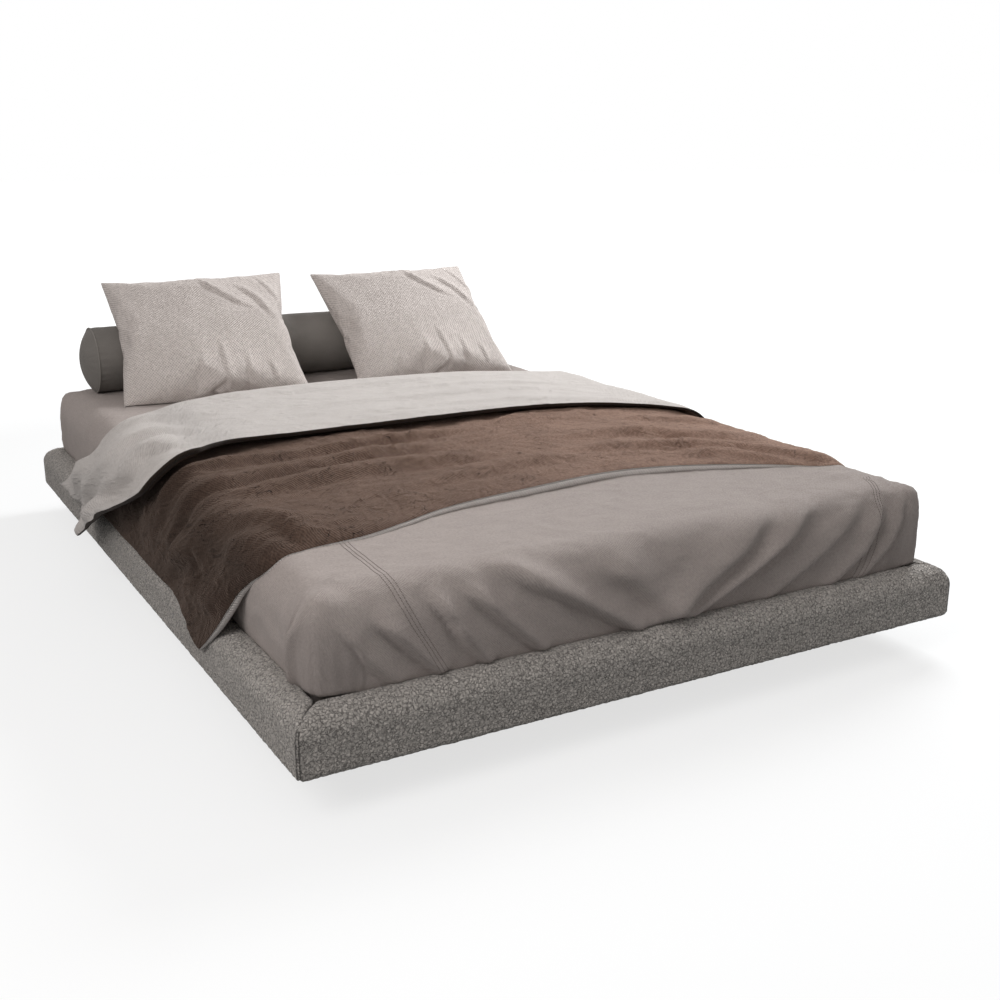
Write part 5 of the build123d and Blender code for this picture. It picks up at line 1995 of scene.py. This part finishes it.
@dataclass
class Pillow:
    """A square-cornered pillow, blown up by a cloth simulation and leant on the bolster.

    Its turn, lean and roll are in degrees.
    """

    place: PillowPlace
    x: float
    y: float
    z: float
    turn: float
    lean: float
    roll: float
    width: float = 0.558
    height: float = 0.480
    fullness: float = 0.014
    rows: int = 62
    columns: int = 72
    frames: int = 26
    pressure: float = 3.4
    seam_bins: int = 40
    cap: float = 0.07
    back_share: float = 0.4
    bolster_gap: float = 0.003
    floor_gap: float = 0.006
    floor_give: float = 0.08

    CLOTH: ClassVar[dict[str, object]] = {
        "quality": 7,
        "mass": 0.25,
        "tension_stiffness": 25.0,
        "compression_stiffness": 25.0,
        "shear_stiffness": 12.0,
        "bending_stiffness": 0.35,
        "air_damping": 4.0,
        "use_pressure": True,
    }

    def shell(self) -> tuple[np.ndarray, np.ndarray, np.ndarray]:
        """Two flat panels sewn round their edge, with a little filling between them.

        Returns:
            The points, the quads and the flat coordinates.
        """
        across = np.linspace(-1.0, 1.0, self.columns)
        up = np.linspace(-1.0, 1.0, self.rows)
        grid = np.stack(np.meshgrid(across, up), axis=2)
        plump = np.clip(1.0 - grid**4, 0.0, 1.0)
        crown = self.fullness * plump[:, :, 0] * plump[:, :, 1]
        plan = grid * np.array([self.width / 2, self.height / 2])
        front = np.dstack([plan, crown]).reshape(-1, 3)
        back = np.dstack([plan, -crown]).reshape(-1, 3)
        faces = grid_faces(self.rows, self.columns)
        numbers = np.arange(self.rows * self.columns).reshape(self.rows, self.columns)
        border = np.concatenate([numbers[0], numbers[-1], numbers[1:-1, 0], numbers[1:-1, -1]])
        sewn = np.arange(2 * len(front))
        sewn[border + len(front)] = border
        faces = sewn[np.concatenate([faces, faces[:, ::-1] + len(front)])]
        kept, faces = np.unique(faces, return_inverse=True)
        flat = np.tile(plan.reshape(-1, 2), (2, 1))
        return np.concatenate([front, back])[kept], faces.reshape(-1, 4), flat[kept]

    def blow_up(self, piece: bpy.types.Object, start: np.ndarray) -> np.ndarray:
        """Fills the pillow by Blender's cloth simulation.

        Args:
            piece: the flat pillow.
            start: its points.

        Returns:
            The points of the filled pillow.
        """
        cloth = piece.modifiers.new("filling", "CLOTH")
        for name, value in self.CLOTH.items():
            setattr(cloth.settings, name, value)
        cloth.settings.uniform_pressure_force = self.pressure
        cloth.settings.effector_weights.gravity = 0.0
        cloth.collision_settings.use_collision = False
        cloth.point_cache.frame_end = self.frames
        scene = bpy.context.scene
        for step in range(1, self.frames + 1):
            scene.frame_set(step)
        filled = piece.evaluated_get(bpy.context.evaluated_depsgraph_get())
        way = read_vertices(filled.data, "co") - start
        piece.modifiers.clear()
        scene.frame_set(1)
        length = np.linalg.norm(way, axis=1, keepdims=True)
        return start + way * np.minimum(1.0, self.cap / np.maximum(length, 1e-9))

    def from_middle(self, plan: np.ndarray) -> np.ndarray:
        """How far places are from the pillow's middle, 1 at its edge, across and along."""
        return np.abs(plan) / np.array([self.width / 2, self.height / 2])

    def relief(self, flat: np.ndarray) -> np.ndarray:
        """The drag lines of the case, in metres.

        Args:
            flat: places on the case, across and up.

        Returns:
            The lift of each.
        """
        field = CrinkleField(31 + list(PillowPlace).index(self.place))
        folds = (
            Fold(((-0.02, 0.19), (0.03, 0.12), (0.10, 0.06), (0.16, 0.03)), 0.011, 0.006, 0.8),
            Fold(((0.09, 0.15), (0.16, 0.08), (0.21, -0.02)), 0.011, 0.006, 0.8),
            Fold(((0.17, 0.19), (0.21, 0.12), (0.235, 0.04)), 0.009, 0.004, 0.7),
            Fold(((0.02, -0.06), (0.03, -0.13), (0.035, -0.2)), 0.009, 0.004, 0.9),
            Fold(((-0.03, -0.1), (-0.045, -0.2)), 0.008, 0.004, 0.7),
            Fold(((0.09, -0.1), (0.1, -0.2)), 0.010, 0.004, 0.8),
            Fold(((0.15, -0.12), (0.175, -0.2)), 0.009, 0.004, 0.8),
            Fold(((-0.12, -0.14), (-0.13, -0.21)), 0.009, 0.003, 0.8),
        )
        lift = folded_relief(folds, flat)
        lift += 0.0012 * field.layered(flat * 14.0, 2)
        edge = self.from_middle(flat).max(axis=1)
        return lift * smooth_step(edge, 1.0, 0.9)

    def settle(self, points: np.ndarray, block: RoundedBlock) -> np.ndarray:
        """Leans the pillow, then presses it flat where it meets bolster and sheet.

        Args:
            points: its points, lying flat about the origin.
            block: the mattress.

        Returns:
            The points in the bed's frame.
        """
        lean, turn, roll = (math.radians(angle) for angle in (self.lean, self.turn, self.roll))
        up_way = np.array([0.0, math.sin(lean), math.cos(lean)])
        out_way = np.array([0.0, -math.cos(lean), math.sin(lean)])
        side_way = np.array([1.0, 0.0, 0.0])
        local_x = points[:, 0] * math.cos(roll) - points[:, 1] * math.sin(roll)
        local_y = points[:, 0] * math.sin(roll) + points[:, 1] * math.cos(roll)
        bins = ((points[:, 0] / self.width + 0.5) * self.seam_bins).astype(int)
        bins = np.clip(bins, 0, self.seam_bins - 1)
        lowest = np.zeros(self.seam_bins)
        np.minimum.at(lowest, bins, points[:, 1])
        lowest = np.minimum(lowest, -0.3 * self.height)
        middles = ((np.arange(self.seam_bins) + 0.5) / self.seam_bins - 0.5) * self.width
        seam = np.interp(points[:, 0], middles, lowest)
        low = smooth_step(points[:, 1], seam + 0.15, seam)
        local_y = local_y - low * (seam + 0.49 * self.height) + self.height * 0.475
        world = np.outer(local_x, side_way) + np.outer(local_y, up_way) + np.outer(points[:, 2], out_way)
        turned_x = world[:, 0] * math.cos(turn) - world[:, 1] * math.sin(turn)
        turned_y = world[:, 0] * math.sin(turn) + world[:, 1] * math.cos(turn)
        world = np.column_stack([turned_x + self.x, turned_y + self.y, world[:, 2] + self.z])
        bolster_low, bolster_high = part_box("bolster_cover")
        centre_y = (bolster_low.y + bolster_high.y) / 2
        centre_z = (bolster_low.z + bolster_high.z) / 2
        radius = (bolster_high.z - bolster_low.z) / 2 + self.bolster_gap
        away_y = world[:, 1] - centre_y
        away_z = world[:, 2] - centre_z
        distance = np.hypot(away_y, away_z)
        push = np.maximum(radius - distance, 0.0) / np.maximum(distance, 1e-6)
        world[:, 1] += away_y * push
        world[:, 2] += away_z * push
        floor = block.top + self.floor_gap
        pressed = floor + self.floor_give * (world[:, 2] - floor)
        world[:, 2] = np.where(world[:, 2] < floor, pressed, world[:, 2])
        return world

    def dress(self, block: RoundedBlock, finishes: Finishes) -> None:
        """Builds the pillow and puts it in place of the plain one.

        Args:
            block: the mattress.
            finishes: the materials.
        """
        points, faces, flat = self.shell()
        name = f"pillow_cushion_{self.place.value}"
        piece = MeshParts(points, faces, flat).build(name, [finishes["pillow_linen"]])
        points = self.blow_up(piece, points)
        write_points(piece.data, points)
        subdivision = piece.modifiers.new("finer", "SUBSURF")
        subdivision.levels = subdivision.render_levels = 1
        bake_modifiers(piece)
        points, normals = read_vertices(piece.data, "co"), read_vertices(piece.data, "normal")
        lift = self.relief(points[:, :2]) * np.where(normals[:, 2] > 0.0, 1.0, self.back_share)
        write_points(piece.data, self.settle(points + normals * lift[:, None], block))
        turn_outwards(piece)
        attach(piece, ROOT_BODY)
        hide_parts(f"pillow_{self.place.value}")
        LOG.info("%s: %d faces", piece.name, len(piece.data.polygons))


@dataclass
class Bolster:
    """The long round cushion at the head, with domed ends and piping."""

    seam: float = 0.62
    dome: float = 0.034
    around: int = 120
    dome_rings: int = 22
    body_rings: int = 150
    pole: float = 0.004
    seam_margin: float = 0.004
    floor_gap: float = 0.0005
    pucker_width: float = 0.022
    piping_width: float = 0.007
    stitch_width: float = 0.006
    pucker_count: float = 34.0
    pucker_height: float = 0.0013
    swell_height: float = 0.0022
    crease_height: float = 0.0014
    seam_dip: float = 0.0006

    def build(self, finishes: Finishes) -> bpy.types.Object:
        """Turns the bolster's outline, with puckers at the seams and a flat where it lies.

        Args:
            finishes: the materials.

        Returns:
            The piece.
        """
        low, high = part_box("bolster_cover")
        radius = (high.z - low.z) / 2
        centre_y, centre_z = (low.y + high.y) / 2, (low.z + high.z) / 2
        dome_radius = (radius**2 + self.dome**2) / (2 * self.dome)
        angles = np.linspace(self.pole, math.asin(radius / dome_radius), self.dome_rings)
        cap_x = self.seam + self.dome - dome_radius + dome_radius * np.cos(angles)
        cap_r = dome_radius * np.sin(angles)
        body_x = np.linspace(self.seam - self.seam_margin, -self.seam + self.seam_margin, self.body_rings)
        profile_x = np.concatenate([cap_x, body_x, -cap_x[::-1]])
        profile_r = np.concatenate([cap_r, np.full(len(body_x), radius), cap_r[::-1]])
        noise = CrinkleField(41)
        turn = np.linspace(0.0, 2.0 * math.pi, self.around, endpoint=False)
        along, spin = np.meshgrid(profile_x, turn, indexing="ij")
        flat = np.stack([along, spin * radius], axis=2).reshape(-1, 2)
        to_seam = np.abs(np.abs(along) - self.seam)
        widths = (self.pucker_width, self.piping_width, self.stitch_width)
        near_seam, at_piping, at_stitches = (np.exp(-((to_seam / width) ** 2)) for width in widths)
        pucker = np.sin(spin * self.pucker_count + 3.0 * np.sin(spin * 3.0)) * self.pucker_height
        swell = self.swell_height * noise.layered(flat * np.array([5.0, 7.0]), 2)
        crease = self.crease_height * noise.ridged(flat * np.array([12.0, 5.0]) + 3.0, 2, 0.8)
        rough = (swell + crease).reshape(along.shape) * (1.0 - 0.7 * near_seam)
        relief = near_seam * pucker * (1.0 - at_piping) + rough - self.seam_dip * at_stitches
        rest = profile_r[:, None] + smooth_step(profile_r, 0.02, 0.08)[:, None] * relief
        y = centre_y + rest * np.cos(spin)
        z = np.maximum(centre_z + rest * np.sin(spin), low.z + self.floor_gap)
        points = np.stack([along, y, z], axis=2).reshape(-1, 3)
        parts = MeshParts(points, tube_faces(*along.shape), flat)
        piece = parts.build("bolster_cushion", [finishes["bolster_cloth"]])
        turn_outwards(piece)
        return piece

    def dress(self, finishes: Finishes) -> None:
        """Builds the bolster and puts it in place of the plain one; the piping stays.

        Args:
            finishes: the materials.
        """
        piece = self.build(finishes)
        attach(piece, ROOT_BODY)
        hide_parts("bolster_core", "bolster_cover")
        LOG.info("%s: %d faces", piece.name, len(piece.data.polygons))


class FrameWork:
    """The timber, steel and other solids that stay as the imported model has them."""

    def dress(self, finishes: Finishes) -> None:
        """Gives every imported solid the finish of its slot.

        Args:
            finishes: the materials.
        """
        for part in frame["record"]["subparts"]:
            solid = frame["nodes"][part["node"]]
            solid.data.materials.clear()
            solid.data.materials.append(finishes.of_slot(part["material_slot"]))
            LOG.info("%s: %s", part["node"], part["material_slot"])


@dataclass
class Studio:
    """Floor, lamps, world and camera."""

    camera_place: tuple[float, float, float] = (-1.379, -2.807, 1.097)
    yaw: float = math.radians(29.75)
    pitch: float = math.radians(-16.24)
    lens: float = 45.07
    sensor: float = 36.0
    floor_size: float = 60.0
    floor_colour: float = 0.3
    shadow_reach: float = 2.2
    ambient: float = 0.41
    lamp_size: float = 2.0

    AIM: ClassVar[Vector] = Vector((0.0, 0.0, 0.3))
    LAMPS: ClassVar[tuple[tuple[str, tuple[float, float, float], float, Colour], ...]] = (
        ("key_lamp", (3.2, 1.2, 3.0), 182.0, WHITE),
        ("fill_lamp", (-3.0, -1.8, 2.8), 58.0, WARM),
        ("front_lamp", (2.4, -3.6, 1.8), 4.5, WHITE),
    )

    def floor(self) -> None:
        """Lays the pale floor, which keeps the bed's shadow."""
        half = self.floor_size / 2
        mesh = bpy.data.meshes.new("studio_floor")
        corners = [(-half, -half, 0.0), (half, -half, 0.0), (half, half, 0.0), (-half, half, 0.0)]
        mesh.from_pydata(corners, [], [(0, 1, 2, 3)])
        sheet = FinishSheet("studio_floor", on_cloth=False)
        grey = self.floor_colour
        colour = opaque((grey, 1.035 * grey, 1.055 * grey))
        sheet.give({"Base Color": colour, "Roughness": 0.9, "Specular IOR Level": 0.0})
        away = sheet.add("ShaderNodeVectorMath", {0: sheet.place}, operation="LENGTH").outputs["Value"]
        level = sheet.ranged(away, (self.shadow_reach, 2.0 * self.shadow_reach), (1.0 - grey, 1.0))
        glow = sheet.add("ShaderNodeEmission", {"Color": opaque(WHITE), "Strength": level}).outputs[0]
        plain = sheet.shader.outputs[0]
        both = sheet.add("ShaderNodeAddShader", {0: plain, 1: glow}).outputs[0]
        self.show(sheet, plain, both, sheet.tree.nodes["Material Output"])
        mesh.materials.append(sheet.material)
        plane = bpy.data.objects.new("studio_floor", mesh)
        bpy.context.scene.collection.objects.link(plane)

    def world(self) -> None:
        """Fills the room with plain white light, and shows white behind the bed."""
        world = bpy.data.worlds.new("studio_world")
        bpy.context.scene.world = world
        world.use_nodes = True
        kit = NodeTree(world.node_tree)
        world.node_tree.nodes.clear()
        soft = kit.add("ShaderNodeBackground", {"Color": opaque(WARM), "Strength": self.ambient}).outputs[0]
        white = kit.add("ShaderNodeBackground", {"Color": opaque(WHITE), "Strength": 1.0}).outputs[0]
        self.show(kit, soft, white, kit.add("ShaderNodeOutputWorld"))

    @staticmethod
    def show(
        kit: NodeTree, light: bpy.types.NodeSocket, seen: bpy.types.NodeSocket, output: bpy.types.Node
    ) -> None:
        """Ends a tree with one shader that gives light and another that is seen.

        Args:
            kit: the tree.
            light: what every other ray meets.
            seen: what the camera's rays meet, straight, by a gloss or through glass.
            output: the tree's output node.
        """
        rays = kit.add("ShaderNodeLightPath").outputs
        share = kit.sums("MAXIMUM", rays["Is Camera Ray"], rays["Is Glossy Ray"])
        share = kit.sums("MAXIMUM", share, rays["Is Transmission Ray"])
        pick = kit.add("ShaderNodeMixShader", {0: share, 1: light, 2: seen})
        kit.lead(pick.outputs[0], output.inputs["Surface"])

    def lamp(self, name: str, place: tuple[float, float, float], power: float, tint: Colour) -> None:
        """Hangs a square lamp that shines at the bed.

        Args:
            name: the lamp's name.
            place: where it hangs.
            power: its power in watts.
            tint: the colour of its light.
        """
        data = bpy.data.lights.new(name, "AREA")
        data.shape = "SQUARE"
        data.size = self.lamp_size
        data.energy = power
        data.color = tint
        self.stand(data, place, self.AIM - Vector(place))

    @staticmethod
    def stand(data: bpy.types.ID, place: tuple[float, float, float], way: Vector) -> bpy.types.Object:
        """Puts a lamp or camera at a place, so that it looks along a direction.

        Args:
            data: the lamp's or camera's data, whose name it takes.
            place: where it stands.
            way: the direction it looks in.

        Returns:
            The new object.
        """
        found = bpy.data.objects.new(data.name, data)
        found.location = place
        found.rotation_mode = "QUATERNION"
        found.rotation_quaternion = way.to_track_quat("-Z", "Y")
        bpy.context.scene.collection.objects.link(found)
        return found

    def camera(self) -> None:
        """Stands the camera where the photograph was taken from."""
        data = bpy.data.cameras.new("photograph")
        data.lens = self.lens
        data.sensor_width = self.sensor
        data.clip_end = 100.0
        level = math.cos(self.pitch)
        way = Vector((math.sin(self.yaw) * level, math.cos(self.yaw) * level, math.sin(self.pitch)))
        bpy.context.scene.camera = self.stand(data, self.camera_place, way)

    def build(self) -> None:
        """Sets up everything round the bed."""
        self.camera()
        self.world()
        self.floor()
        for name, place, power, tint in self.LAMPS:
            self.lamp(name, place, power, tint)
        bpy.context.scene.view_settings.view_transform = "Standard"
        LOG.info("studio ready")


def main() -> None:
    """Builds the studio and every piece of the bed in order."""
    logging.basicConfig(level=logging.INFO, format="%(message)s")
    Studio().build()
    finishes = Finishes()
    recipes = GeometryRecipes()
    FrameWork().dress(finishes)
    for side in RailSide:
        RailUpholstery(side).dress(recipes, finishes)
    block = RoundedBlock()
    Mattress(block).dress(finishes)
    FittedSheet(block).dress(recipes, finishes)
    Duvet().dress(finishes)
    Bolster().dress(finishes)
    left = Pillow(PillowPlace.LEFT, x=-0.347, y=0.611, z=0.382, turn=-9.6, lean=48.5, roll=1.9)
    left.dress(block, finishes)
    right = Pillow(PillowPlace.RIGHT, x=0.337, y=0.575, z=0.380, turn=1.3, lean=49.3, roll=0.0)
    right.dress(block, finishes)


if __name__ == "__main__":
    main()
